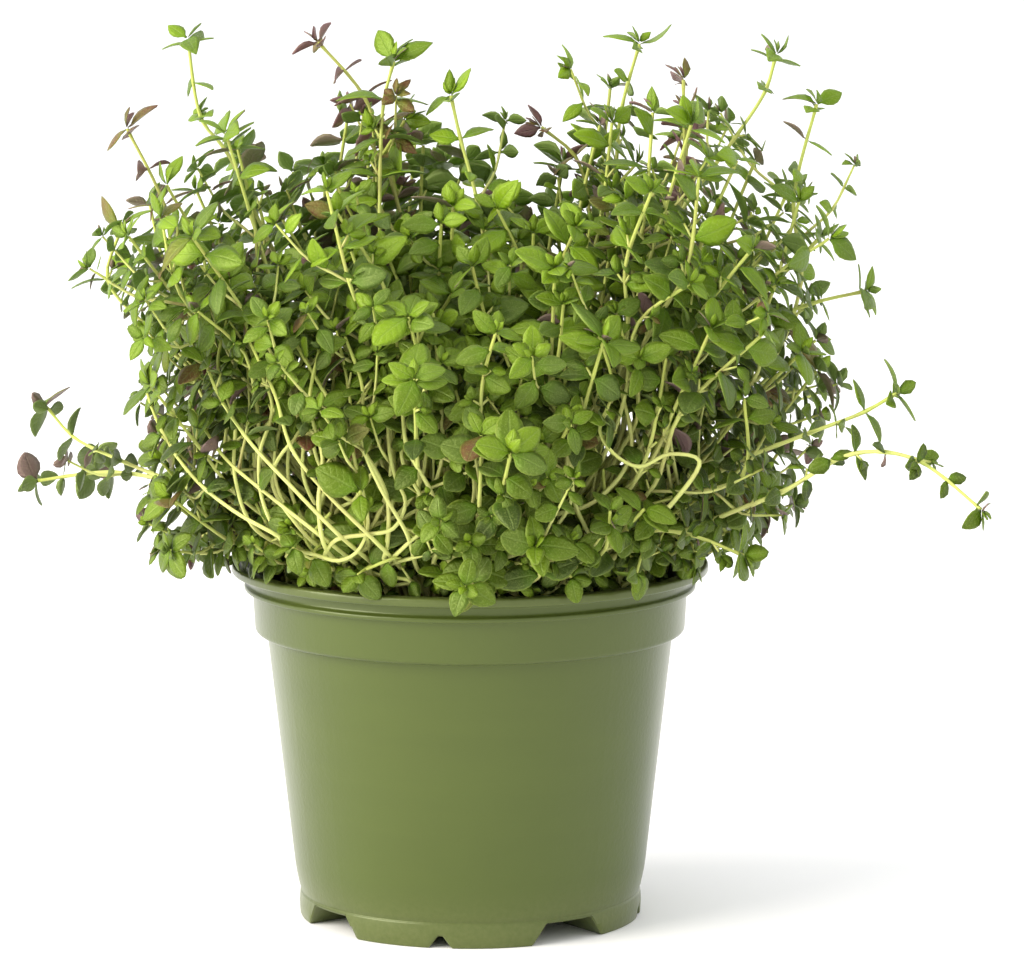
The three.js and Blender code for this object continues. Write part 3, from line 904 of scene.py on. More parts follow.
def setLeaf(owner, at, way, side, lean, length):
    # A leaf that leans from its stem's way towards a side, with its upper face to the stem's tip
    heading = leaned(way, side, lean)
    upper = squareTo(way, heading)
    width = length * leafShape["widthShare"]
    fall = -leafShape["bend"] * leafing["clearTo"] ** 2 * length
    start = along(at, heading, leafing["clearFrom"] * length)
    end = along(along(at, heading, leafing["clearTo"] * length), upper, fall)
    return {"owner": owner, "at": at, "heading": heading, "upper": upper, "length": length, "width": width,
            "from": start, "to": end, "radius": leafing["clearWidth"] * width + leafShape["gap"]}


def blocked(leaf, taken):
    for end in (leaf["from"], leaf["to"]):
        if meetsPot(end, leaf["radius"]) or meetsSoil(end, leaf["radius"]):
            return True
    for other in taken:
        if other["owner"] == leaf["owner"]:
            continue
        least = leaf["radius"] + other["radius"]
        if stretchDistance(leaf["from"], leaf["to"], other["from"], other["to"]) < least:
            return True
    return False


def layLeaves(shoots):
    # Opposite pairs that turn a quarter from one pair to the next
    draw = drawsFrom(crown["seed"] + 1)
    taken = []
    for owner, shoot in enumerate(shoots):
        for start, end in zip(shoot["path"], shoot["path"][1:]):
            taken.append({"owner": owner, "from": start, "to": end, "radius": stemShape["reach"]})
    for owner, shoot in enumerate(shoots):
        shoot["leaves"] = []
        first = len(shoot["path"]) - 1 - shoot["pairs"]
        for i in range(shoot["pairs"]):
            at = shoot["path"][first + i]
            way = unit(minus(shoot["path"][first + i + 1], shoot["path"][first + i - 1]))
            level = unit((way[1], -way[0], 0))
            last = i == shoot["pairs"] - 1
            taper = leafing["tipTaper"] if last else mixed(*leafing["taper"], i / shoot["pairs"])
            length = shoot["leaf"] * taper * mixed(*leafing["spread"], draw())
            leanDraw = draw()
            lean = math.radians(leafing["tipLean"] if last else mixed(*leafing["lean"], leanDraw))
            twist = leafing["twist"] * (2 * draw() - 1)
            for half in range(2):
                for attempt in range(leafing["tries"]):
                    turn = math.pi * (half + i / 2) + twist + attempt * leafing["tryTwist"]
                    leaf = setLeaf(owner, at, way, spun(level, way, turn), lean, length)
                    if not blocked(leaf, taken):
                        leaf["pair"] = i
                        taken.append(leaf)
                        shoot["leaves"].append(leaf)
                        break


shoots = layShoots()
layLeaves(shoots)
print(f"{len(shoots)} shoots are laid, with {sum(len(s['leaves']) for s in shoots)} main leaves")

# Leaf and stem meshes

leafForm = {
    "thickness": 0.34,
    "stations": (0, 0.12, 0.27, 0.46, 0.66, 0.83, 0.94, 1),
    "across": (-1, -0.55, 0, 0.55, 1),
    "petiole": 0.09,  # of the length
    "petioleHalf": 0.055,  # of the width
    "petioleLeast": 0.24,
    "roll": 0.22,  # how far the margins roll under, as a share of the half width
}

smallLeafForm = dict(leafForm, thickness=0.28, stations=(0, 0.24, 0.55, 0.86, 1), across=(-1, 0, 1))


def leafHalfWidths(stations, width, fullest, bluntness, form):
    # Half widths at the stations as shares of the width, one row a leaf; fullest sets where a leaf is widest
    share = np.clip((stations[None, :] - form["petiole"]) / (1 - form["petiole"]), 0, 1)
    outline = 0.5 * np.clip(np.sin(math.pi * share ** fullest[:, None]), 0, 1) ** (1 - bluntness[:, None])
    petiole = np.maximum(form["petioleHalf"], form["petioleLeast"] / width)
    least = petiole[:, None] * (1 - stations ** 2)[None, :] + 0.012
    return np.maximum(outline, least)


def leafGrid(form):
    # Indices of the upper and lower faces' points, which share the margin, and the quads between them
    rows = len(form["stations"])
    columns = len(form["across"])
    upper = np.arange(rows * columns).reshape(rows, columns)
    lower = upper.copy()
    inner = (rows - 2) * (columns - 2)
    lower[1:-1, 1:-1] = rows * columns + np.arange(inner).reshape(rows - 2, columns - 2)

    def quads(grid):
        return np.stack([grid[:-1, :-1], grid[1:, :-1], grid[1:, 1:], grid[:-1, 1:]], -1).reshape(-1, 4)

    return quads(upper), quads(lower)[:, ::-1], rows * columns + inner


def leafMeshes(leaves, form):
    # Points, quads and what the material reads, for all leaves of one form at once
    stations = np.array(form["stations"], float)
    across = np.array(form["across"], float)
    columnOf = {key: np.array([leaf[key] for leaf in leaves], float) for key in
                ("at", "heading", "upper", "length", "width", "cup", "bend", "fullest", "blunt", "swerve",
                 "dusk", "tint", "young", "red")}
    half = leafHalfWidths(stations, columnOf["width"], columnOf["fullest"], columnOf["blunt"], form)
    length = columnOf["length"][:, None, None]
    width = columnOf["width"][:, None, None]
    t = stations[None, :, None]
    s = across[None, None, :]
    y = s * half[:, :, None] * width
    lift = columnOf["cup"][:, None, None] * np.abs(y) - columnOf["bend"][:, None, None] * length * t * t
    lift = lift - form["roll"] * half[:, :, None] * width * s ** 4
    y = y + columnOf["swerve"][:, None, None] * length * t * t
    x = np.broadcast_to(t * length, y.shape)
    heading = columnOf["heading"][:, None, None, :]
    upper = columnOf["upper"][:, None, None, :]
    sideways = np.cross(columnOf["upper"], columnOf["heading"])[:, None, None, :]
    start = columnOf["at"][:, None, None, :] + heading * leafShape["heel"]
    top = start + x[..., None] * heading + y[..., None] * sideways + lift[..., None] * upper
    count = len(leaves)
    bottom = (top - form["thickness"] * upper)[:, 1:-1, 1:-1]
    points = np.concatenate([top.reshape(count, -1, 3), bottom.reshape(count, -1, 3)], 1)
    place = np.empty((count, len(stations), len(across), 3))
    place[..., 0] = t
    place[..., 1] = s
    place[..., 2] = columnOf["dusk"][:, None, None]
    inner = place[:, 1:-1, 1:-1].reshape(count, -1, 3)
    place = np.concatenate([place.reshape(count, -1, 3), inner], 1)
    kind = np.stack([columnOf["tint"], columnOf["young"], columnOf["red"]], -1)
    kind = np.broadcast_to(kind[:, None, :], place.shape)
    over, under, size = leafGrid(form)
    starts = (np.arange(count) * size)[:, None, None]
    quads = np.concatenate([over[None] + starts, under[None] + starts], 1).reshape(-1, 4)
    face = np.concatenate([np.zeros((count, len(over))), np.ones((count, len(under)))], 1).ravel()
    return points.reshape(-1, 3), quads, place.reshape(-1, 3), kind.reshape(-1, 3), face


stemForm = {
    "sides": 8,
    "companionSides": 6,
    "sideShootSides": 5,
    "companionStep": 3.9,
    "thinSides": 4,  # of the shortest stems
    "ridge": 0.09,  # how far the four corners stand out, as a share of the radius
    "step": 3.2,  # length between rings
    "swelling": 0.28,  # how much thicker a stem is where leaves grow
    "swellingLength": 0.9,
    "wayReach": 1.5,  # length on each side that a stem's way is taken from
}


def smoothPath(corners, step):
    # A smooth line through the corners, and the place of each corner on it
    spots = [np.array(corner, float) for corner in corners]
    spots = [2 * spots[0] - spots[1], *spots, 2 * spots[-1] - spots[-2]]
    points = []
    marks = []
    for a, b, c, d in zip(spots, spots[1:], spots[2:], spots[3:]):
        marks.append(len(points))
        knots = np.cumsum([0, *[math.sqrt(np.linalg.norm(q - p)) for p, q in ((a, b), (b, c), (c, d))]])
        count = max(2, math.ceil(np.linalg.norm(c - b) / step))
        for t in np.linspace(knots[1], knots[2], count, endpoint=False):
            low = [(p * (k2 - t) + q * (t - k1)) / (k2 - k1)
                   for p, q, k1, k2 in ((a, b, *knots[0:2]), (b, c, *knots[1:3]), (c, d, *knots[2:4]))]
            mid = [(low[0] * (knots[2] - t) + low[1] * (t - knots[0])) / (knots[2] - knots[0]),
                   (low[1] * (knots[3] - t) + low[2] * (t - knots[1])) / (knots[3] - knots[1])]
            points.append((mid[0] * (knots[2] - t) + mid[1] * (t - knots[1])) / (knots[2] - knots[1]))
    marks.append(len(points))
    points.append(spots[-2])
    return np.array(points), marks


def arcLengths(points):
    return np.concatenate([[0], np.cumsum(np.linalg.norm(np.diff(points, axis=0), axis=1))])


def stemMesh(stem):
    # A four-ridged tube along the stem's line, closed at both ends
    points = stem["line"]
    arcs = arcLengths(points)
    sides = stem["sides"]
    tangents = np.gradient(points, axis=0)
    tangents /= np.linalg.norm(tangents, axis=1)[:, None]
    radius = np.interp(arcs / arcs[-1], (0, 0.25, 1), stem["radii"])
    for node in stem["nodes"]:
        bulge = np.exp(-((arcs - node) / stemForm["swellingLength"]) ** 2)
        radius = radius * (1 + stemForm["swelling"] * bulge)
    first = np.cross(tangents[0], (0.3, 0.9, 0.1))
    rings = []
    places = []
    for i, (point, way) in enumerate(zip(points, tangents)):
        first = first - way * np.dot(first, way)
        first /= np.linalg.norm(first)
        second = np.cross(way, first)
        for k in range(sides):
            turn = 2 * math.pi * k / sides
            out = radius[i] * (1 + stemForm["ridge"] * math.cos(4 * turn))
            rings.append(point + out * (math.cos(turn) * first + math.sin(turn) * second))
            places.append((arcs[i] / arcs[-1], k / sides, stem["red"]))
    faces = gridFaces(len(points), sides)
    return np.array(rings), faces, np.array(places)


# Room that is taken, as balls in a grid of cells

roomCell = 4.0
room = {}


def roomKey(point):
    return (int(point[0] // roomCell), int(point[1] // roomCell), int(point[2] // roomCell))


def takeRoom(point, radius, owner):
    room.setdefault(roomKey(point), []).append((point[0], point[1], point[2], radius, owner))


def hasRoom(point, radius, owner):
    cx, cy, cz = roomKey(point)
    for ix in (cx - 1, cx, cx + 1):
        for iy in (cy - 1, cy, cy + 1):
            for iz in (cz - 1, cz, cz + 1):
                for x, y, z, r, other in room.get((ix, iy, iz), ()):
                    if other != owner:
                        far = (x - point[0]) ** 2 + (y - point[1]) ** 2 + (z - point[2]) ** 2
                        if far < (r + radius) ** 2:
                            return False
    return True


leafBalls = ((0.42, 0.27), (0.72, 0.25))  # along a leaf: where each ball sits and its radius, as shares


def ballsOf(leaf):
    for share, reach in leafBalls:
        point = along(leaf["at"], leaf["heading"], share * leaf["length"])
        point = along(point, leaf["upper"], -leaf["bend"] * leaf["length"] * share * share)
        yield point, reach * leaf["width"]


def outwardAt(point):
    # The level way out from the pot's axis, with a small shift so that it has a length on the axis too
    return unit((point[0] + 0.1, point[1], 0.0))


def faceOutward(leaf, way, swing, draw):
    # Turns a leaf's upper face between its stem's tip, the light above and the plant's outside
    x, y, z = times(way, plant["faceTip"])
    level = outwardAt(leaf["at"])
    reach = mixed(*plant["faceOut"], draw())
    stray = [plant["faceStray"] * (2 * draw() - 1) for _ in range(3)]
    wanted = unit((x + level[0] * reach + stray[0], y + level[1] * reach + stray[1],
                   z + plant["faceUp"] + stray[2]))
    heading = along(leaf["heading"], wanted, -swing * dot(leaf["heading"], wanted))
    leaf["heading"] = unit(heading)
    leaf["upper"] = squareTo(wanted, leaf["heading"])


def addLeaf(shoot, at, way, side, lean, length, looks, owner, draw):
    # Sets one leaf if there is room for it; true also where the leaf is left out of a thin place
    leaf = setLeaf(0, at, way, side, lean, length)
    faceOutward(leaf, way, mixed(*plant["swing"], draw()) * (1 - looks["young"] ** 2), draw)
    leaf["width"] = length * looks["widthShare"]
    leaf.update(looks)
    leaf["tint"] = draw()
    leaf.update(shapeFor(leaf["dusk"], draw))
    chance = draw()
    if leaf["red"] < plant["leastRed"] and chance < plant["redShare"]:
        leaf["red"] = mixed(*plant["redDepth"], chance / plant["redShare"])
    elif leaf["red"] < plant["leastRed"] and chance < plant["blushShare"]:
        leaf["red"] = plant["blushDepth"]
    balls = list(ballsOf(leaf))
    end, reach = balls[-1]
    if end[2] < plant["lowestLeaf"] and math.hypot(end[0], end[1]) > potShape["lipRadius"] - plant["rimRoom"]:
        return False
    if outsideBox(end, reach):
        return False
    if draw() > leafyShareAt(end):
        return True
    for point, radius in balls:
        if meetsPot(point, radius) or meetsSoil(point, radius) or not hasRoom(point, radius, owner):
            return False
    for point, radius in balls:
        takeRoom(point, radius, owner)
    shoot["leaves" if length > plant["smallLeaf"] else "smallLeaves"].append(leaf)
    return True


# What differs from leaf to leaf: the least and the most of each
leafVariety = {
    "cup": (0.06, 0.5),
    "bend": (0.06, 0.5),
    "swerve": (-0.09, 0.09),
    "fullest": (0.7, 0.95),
    "blunt": (0.06, 0.28),
}


def shapeFor(dusk, draw):
    shape = {key: mixed(*reach, draw()) for key, reach in leafVariety.items()}
    shape["blunt"] += plant["lowBlunt"] * dusk
    return shape


plant = {
    "seed": 411,
    "nodePitch": 8.8,  # between leaf pairs
    "potRoom": 0.7,  # the least distance of a stem's line from the pot
    "boxRoom": 5,  # of a companion's line from the sides of the CAD model's box
    "lowestTip": 89.5,  # of a stem outside the rim
    "lowestNode": 0.3,  # share of a stem's length that is bare
    "lean": (58, 98),
    # How strongly a leaf's face turns to its stem's tip, to the plant's outside and to the light above
    "faceTip": 0.3,
    "faceOut": (0.3, 1.3),
    "faceUp": 0.3,
    "faceStray": 0.5,
    "swing": (0.35, 0.9),  # how much of the way there its heading turns
    "open": 8,  # degrees by which the solids' leaves open further
    "openTip": 30,
    "openOut": (0.1, 1.3),  # how strongly they turn to the plant's outside
    "placedRed": 0.9,
    "placedYoung": (0.1, 0.45),  # of the solids' leaves, and of the topmost ones
    "placedWidth": (0.58, 0.72),
    "betweenShare": 0.92,  # length of the leaves between the solids' pairs
    "belowShare": (0.62, 0.92),  # and of those below them, from the foot up
    "belowPitch": (0.9, 1.5),
    "placedBud": 1.04,  # length of the leaves round the solids' buds
    "youngShare": 0.3,  # how young the uppermost pairs are
    "widthShare": (0.5, 0.7),
    "lowWidth": 0.22,  # how much wider the lowest leaves are
    "lowSmall": 0.3,  # and how much shorter
    "lowBlunt": 0.24,  # and how much blunter
    "smallLeaf": 5.4,  # leaves up to this length have fewer faces
    "redShare": 0.03,  # of leaves that are purple
    "redDepth": (0.5, 0.95),
    "blushShare": 0.25,  # of leaves that are purple beneath, with those
    "blushDepth": 0.3,
    "leastRed": 0.1,  # leaves redder than this keep the red of their shoot
    "redSpread": (0.8, 1.1),
    "redPlaces": ((0.55, 0.9), (0.08, 1)),  # shares of a red shoot's length, and how red its leaves are there
    "stemRed": 0.3,  # how red a red shoot's stems are, beside its leaves
    # Where few leaves hide the bare stems: degrees round the pot, heights, and the share of leaves that stay
    "thinPlaces": [((-56, -6), (97, 122), 0.5), ((25, 51), (106, 124), 0.15)],
    "thinRadius": 40,
    "lowestLeaf": 84.5,  # height of the lowest leaves outside the rim
    "rimRoom": 4,  # how far inside the lip the outside counts from
    "stemRoom": 0.75,  # radius that leaves keep clear of
    "pairSpread": (0.86, 1.08),
    "pairTries": 3,
    "tryTurn": 0.45,
    "tryShrink": 0.88,
    # The leaf pairs round a bud: height above it, share of the length, how young, lean, chance of growing
    "budPairs": [(0, 1, 0.3, (44, 78), 1), (0.2, 0.68, 0.5, (24, 52), 1), (0.4, 0.42, 0.85, (10, 26), 0.6)],
    "hidden": 0.44,  # depth in the crown below which no leaves are made
    "tuftShare": 0.3,
    "tuftHighest": 0.9,  # share of a stem's length up to which tufts grow
    "sideShare": (0.13, 0.24),  # low down and at the top
    "sideHighest": 0.85,
    "radii": (0.64, 0.54, 0.36),  # of a stem at its foot, a quarter up and its tip
    "topDusk": (92, 185),  # heights between which leaves turn from grey-green to plain green, and from painted shade to painted light
    "duskShares": (0.9, 0.5),  # how much a leaf's height and its depth in the crown count for that
}

# A short shoot in a leaf's axil
tuft = {
    "forward": 0.75,  # how far it leans to its stem's tip
    "outward": (0.45, 0.9),
    "length": (2.0, 4.5),
    "leaf": (3.0, 5.2),
    "young": (0.1, 0.6),
    "radii": (0.32, 0.3, 0.24),
    # As budPairs, with leaves as young as the tuft
    "pairs": [(0, 1, None, (36, 62), 1), (0.2, 0.65, None, (18, 36), 0.6)],
}

# A shoot that leaves its stem at an angle and turns upward
sideShoot = {
    "length": (13, 30),
    "forward": 0.55,
    "outward": 0.85,
    "keep": 0.8,  # how much of its first way stays when it turns
    "follow": 0.3,  # how much of its stem's way it takes up then
    "rise": 0.45,
    "bend": 0.2,  # where it bends first, as a share of its length
    "leaf": (6.0, 8.6),
    "firstNode": 0.7,  # of the pitch between the leaf pairs of a stem
    "pitch": 0.72,
    "young": (0.1, 0.25),  # at its foot, and how much more at its tip
    "taper": (1, 0.8),
    "budLeaf": 0.8,
    "radii": (0.4, 0.36, 0.26),
}


def depthAt(point):
    # From 0 at the crown's outside to 1 at its heart
    way = minus(point, crown["heart"])
    return 1 - min(1, size(way) / max(1, crownReach(unit(way))))


def duskAt(point):
    low, high = plant["topDusk"]
    byHeight, byDepth = plant["duskShares"]
    return min(1, max(0, byHeight * (high - point[2]) / (high - low) + byDepth * depthAt(point)))


def turnOf(point):
    # Degrees round the pot, from the front towards the right
    return math.degrees(math.atan2(point[0], -point[1]))


def leafyShareAt(point):
    if math.hypot(point[0], point[1]) > plant["thinRadius"]:
        for (low, high), (bottom, top), share in plant["thinPlaces"]:
            if low < turnOf(point) < high and bottom < point[2] < top:
                return share
    return 1


def fits(line, spare):
    # Whether a stem's line keeps clear of the pot, and inside the CAD model's box with something to spare
    for point in line:
        if meetsPot(tuple(point), plant["potRoom"]) or outsideBox(point, spare):
            return False
    x, y, z = line[-1]
    return z > plant["lowestTip"] or math.hypot(x, y) < potShape["lipRadius"]


def outsideBox(point, spare):
    low, high = cadBox
    return any(not 1000 * low[i] + spare < point[i] < 1000 * high[i] - spare for i in range(3))


def sideOf(way, turn):
    level = unit((way[1], -way[0], 0.0001))
    return spun(level, way, turn)


def looksAt(point, red, young):
    return {"dusk": duskAt(point), "red": red, "young": young}


def addPair(shoot, at, way, turn, length, young, owner, draw, lean=None, red=None):
    if depthAt(at) > plant["hidden"]:
        return
    for half in range(2):
        degrees = mixed(*(lean or plant["lean"]), draw())
        redness = (shoot["red"] if red is None else red) * mixed(*plant["redSpread"], draw())
        looks = looksAt(at, redness, young)
        looks["widthShare"] = mixed(*plant["widthShare"], draw()) + plant["lowWidth"] * looks["dusk"]
        grown = length * mixed(*plant["pairSpread"], draw())
        for attempt in range(plant["pairTries"]):
            side = sideOf(way, turn + math.pi * half + attempt * plant["tryTurn"])
            if addLeaf(shoot, at, way, side, math.radians(degrees), grown, dict(looks), owner, draw):
                break
            grown *= plant["tryShrink"]


def addClosePairs(shoot, pairs, at, way, turn, length, owner, draw, young=None):
    # Leaf pairs close above each other, each a quarter turn from the one below
    for k, (above, share, ownYoung, lean, chance) in enumerate(pairs):
        if chance == 1 or draw() < chance:
            grown = young if ownYoung is None else ownYoung
            addPair(shoot, along(at, way, above), way, turn + k % 2 * math.pi / 2, length * share, grown,
                    owner, draw, lean=lean)


def addStem(shoot, line, radii, nodes, sides):
    shoot["stems"].append({"line": line, "radii": radii, "nodes": tuple(nodes),
                           "red": shoot["red"] * plant["stemRed"], "sides": sides})


def addTuft(shoot, at, way, side, owner, draw):
    heading = unit(along(times(way, tuft["forward"]), side, mixed(*tuft["outward"], draw())))
    end = along(at, heading, mixed(*tuft["length"], draw()))
    leafLength = mixed(*tuft["leaf"], draw())
    turn = draw() * math.pi
    young = mixed(*tuft["young"], draw())
    line = np.array([at, between(at, end, 0.5), end])
    addStem(shoot, line, tuft["radii"], (), stemForm["thinSides"])
    addClosePairs(shoot, tuft["pairs"], end, heading, turn, leafLength, owner, draw, young)


def addSideShoot(shoot, at, way, side, owner, draw):
    s = sideShoot
    reach = mixed(*s["length"], draw())
    out = unit(along(times(way, s["forward"]), side, s["outward"]))
    up = unit((out[0] * s["keep"] + way[0] * s["follow"], out[1] * s["keep"] + way[1] * s["follow"],
               out[2] * s["keep"] + s["rise"]))
    middle = along(at, out, reach * 0.5)
    end = along(middle, up, reach * 0.5)
    leafLength = mixed(*s["leaf"], draw())
    phase = draw() * math.pi
    line, _ = smoothPath([at, along(at, out, reach * s["bend"]), middle, end], stemForm["step"])
    if not fits(line, 0) or meetsSoil(end, 1):
        return
    arcs = arcLengths(line)
    nodes = np.arange(plant["nodePitch"] * s["firstNode"], arcs[-1], plant["nodePitch"] * s["pitch"])
    addStem(shoot, line, s["radii"], nodes, stemForm["sideShootSides"])
    for i, arc in enumerate(nodes):
        point, heading = placeOn(line, arcs, arc)
        young = s["young"][0] + s["young"][1] * arc / arcs[-1]
        length = leafLength * mixed(*s["taper"], i / len(nodes))
        addPair(shoot, point, heading, phase + i * math.pi / 2, length, young, owner, draw)
    point, heading = placeOn(line, arcs, arcs[-1])
    turn = phase + len(nodes) * math.pi / 2
    addClosePairs(shoot, plant["budPairs"], point, heading, turn, leafLength * s["budLeaf"], owner, draw)


def pointOn(line, arcs, arc):
    return tuple(np.interp(arc, arcs, line[:, axis]) for axis in range(3))


def placeOn(line, arcs, arc):
    # The point at a length along a line, and the line's way there
    before = pointOn(line, arcs, max(0, arc - stemForm["wayReach"]))
    after = pointOn(line, arcs, min(arcs[-1], arc + stemForm["wayReach"]))
    return pointOn(line, arcs, arc), unit(minus(after, before))


def newShoot(name, path, red, leafLength, step=stemForm["step"]):
    line, marks = smoothPath(path, step)
    return {"name": name, "line": line, "marks": marks, "red": red, "leaf": leafLength, "stems": [],
            "leaves": [], "smallLeaves": []}


def redAt(shoot, share):
    return shoot["red"] * float(np.interp(share, *plant["redPlaces"]))


def youngAt(share, most):
    # Only leaves above the first 0.6 of a stem are young
    return most * max(0, (share - 0.6) / 0.4)


def growNode(shoot, owner, arc, arcs, turn, leafShare, young, draw, placed=False):
    # A leaf pair with what grows in its axils
    at, way = placeOn(shoot["line"], arcs, arc)
    red = redAt(shoot, arc / arcs[-1])
    if not placed:
        length = shoot["leaf"] * leafShare * (1 - plant["lowSmall"] * duskAt(at))
        addPair(shoot, at, way, turn, length, young, owner, draw, red=red)
    for half in range(2):
        side = sideOf(way, turn + math.pi * half)
        chance = draw()
        sideShare = mixed(*plant["sideShare"], 1 - duskAt(at))
        if depthAt(at) > plant["hidden"]:
            continue
        if chance < sideShare and arc < plant["sideHighest"] * arcs[-1]:
            addSideShoot(shoot, at, way, side, owner, draw)
        elif chance < sideShare + plant["tuftShare"] and arc < plant["tuftHighest"] * arcs[-1]:
            addTuft(shoot, at, way, side, owner, draw)


def opened(leaf, ahead, degrees, draw):
    # A leaf of the solids, leaning a little further from its stem and turned a little to the outside
    way = unit(minus(ahead, leaf["at"]))
    lean = math.acos(max(-1, min(1, dot(leaf["heading"], way)))) + math.radians(degrees)
    heading = leaned(way, squareTo(leaf["heading"], way), lean)
    wanted = along(leaf["upper"], outwardAt(leaf["at"]), mixed(*plant["openOut"], draw()))
    return dict(leaf, heading=heading, upper=squareTo(wanted, heading))


def dressPlacedShoot(source, owner, draw):
    # A shoot of the solids: its own leaves where they are, finer, with the smaller ones that they leave out
    red = plant["placedRed"] if source["red"] else 0
    shoot = newShoot(source["name"], source["path"], red, source["leaf"])
    arcs = arcLengths(shoot["line"])
    first = len(source["path"]) - 1 - source["pairs"]
    pairArcs = [arcs[shoot["marks"][first + i]] for i in range(source["pairs"])]
    for leaf in source["leaves"]:
        last = leaf["pair"] == source["pairs"] - 1
        red = redAt(shoot, pairArcs[leaf["pair"]] / arcs[-1])
        ahead = source["path"][first + leaf["pair"] + 1]
        grown = opened(leaf, ahead, plant["openTip" if last else "open"], draw)
        red *= mixed(*plant["redSpread"], draw())
        grown.update(looksAt(leaf["at"], red, plant["placedYoung"][last]))
        grown.update(shapeFor(grown["dusk"], draw))
        grown["width"] = leaf["length"] * mixed(*plant["placedWidth"], draw())
        grown["tint"] = draw()
        shoot["leaves"].append(grown)
    nodes = []
    quarter = math.pi / 2
    for i, arc in enumerate(pairArcs):
        nodes.append((arc, i * quarter, 1, True))
        if i + 1 < len(pairArcs):
            stretch = pairArcs[i + 1] - arc
            count = max(1, round(stretch / plant["nodePitch"]))
            whole = quarter + math.pi * round((quarter * count - quarter) / math.pi)
            for k in range(1, count):
                nodes.append((arc + stretch * k / count, i * quarter + whole * k / count,
                              plant["betweenShare"], False))
    arc = pairArcs[0] - plant["nodePitch"]
    turn = -quarter
    while arc > plant["lowestNode"] * arcs[-1]:
        share = mixed(*plant["belowShare"], arc / pairArcs[0])
        nodes.append((arc, turn, share, False))
        arc -= plant["nodePitch"] * mixed(*plant["belowPitch"], draw())
        turn -= quarter
    addStem(shoot, shoot["line"], plant["radii"], (node[0] for node in nodes), stemForm["sides"])
    for arc, turn, share, isPlaced in nodes:
        young = youngAt(arc / arcs[-1], plant["youngShare"])
        growNode(shoot, owner, arc, arcs, turn, share, young, draw, placed=isPlaced)
    tip, way = placeOn(shoot["line"], arcs, arcs[-1])
    turn = source["pairs"] * quarter
    addClosePairs(shoot, plant["budPairs"], tip, way, turn, source["leaf"] * plant["placedBud"], owner, draw)
    return shoot


companions = {
    "count": 172,
    "lowest": -0.2,
    "highest": 0.97,
    "upward": 0.48,  # the power that sends more of them to the top
    "tries": 12,
    "tipShare": (0.64, 1.0),
    "baseRadius": 43,
    "baseFall": 0.9,  # how much nearer the pot's axis the upright ones grow
    "baseShare": (0.75, 1),
    "apart": 1.4,
    "wander": 4.6,  # how far a companion's bends may stray each way
    "leaf": (8.8, 12.6),
    "budLeaf": 0.72,
    "taper": ((0.3, 0.5, 0.9, 1), (0.8, 1, 1, 0.9)),  # places on a stem, and the leaves' size there
    "topNode": 0.6,  # how far the topmost leaf pair stays below the bud, as a share of the pairs' pitch
    "pitch": (0.85, 1.2),
    "youngShare": 0.35,
    "redShare": 0.035,
    "red": 0.8,
    "redLeaf": 0.72,  # size of a red one's leaves
    "bare": (0.32, 0.45),  # share of a stem without leaves, on the lowest and the highest
    # More where the crown is fullest: degrees from the right towards the back, spread each way, count, rise
    "lobes": [(180, 66, 46, (0.6, 0.95)), (0, 62, 36, (0.6, 0.95)), (-8, 42, 24, (0.05, 0.55))],
    "lobeTip": (0.84, 1.02),
}

# Low shoots all round: distances from the pot's axis and heights of each bend
skirt = {
    "count": 64,
    "neck": 6,  # height above the soil
    "foot": (34, 42),
    "over": (45, 50),
    "rim": (55, 59),
    "tip": (58, 65),
    "overHeight": (90, 98),
    "rimHeight": (91, 102),
    "tipHeight": (89.8, 105),
    "leaf": (7.5, 9.6),
    "bare": 0.3,
}

sprigs = {
    "count": 46,
    "neck": 3,
    "foot": (38, 45),
    "over": (44, 48.5),
    "rim": (48, 52),
    "tip": (51, 57),
    "overHeight": (82, 86),
    "rimHeight": (86.5, 90),
    "tipHeight": (89.8, 94),
    "leaf": (6.2, 8.4),
    "bare": 0.36,
}

arches = {
    "count": 22,
    "thinCount": 15,  # more of them where few leaves grow
    "thinTurns": (-61, -6),
    "crowding": 0.4,
    "sweep": (14, 38),  # degrees round the pot that an arch runs beside the rim
    "lift": (-4, 8),
    "out": (-4, 1),
    "foot": (30, 40),
    "root": 3,
    "neck": (4, 0.08, 87),  # further out than the foot, share of the sweep, height
    "shownFoot": 34,  # of those that the front shows
    "shownNeck": 40,
    # Distance from the pot's axis, share of the sweep and height of each bend
    "bends": [(51, 0.35, 96), (56, 0.75, 101), (58, 1, 111), (56, 0.97, 126), (50, 0.8, 144)],
    "leaf": (8, 10.5),
    "bare": 0.66,
    "radii": (0.66, 0.56, 0.36),
    "step": 2.0,  # finer than that of other stems
}

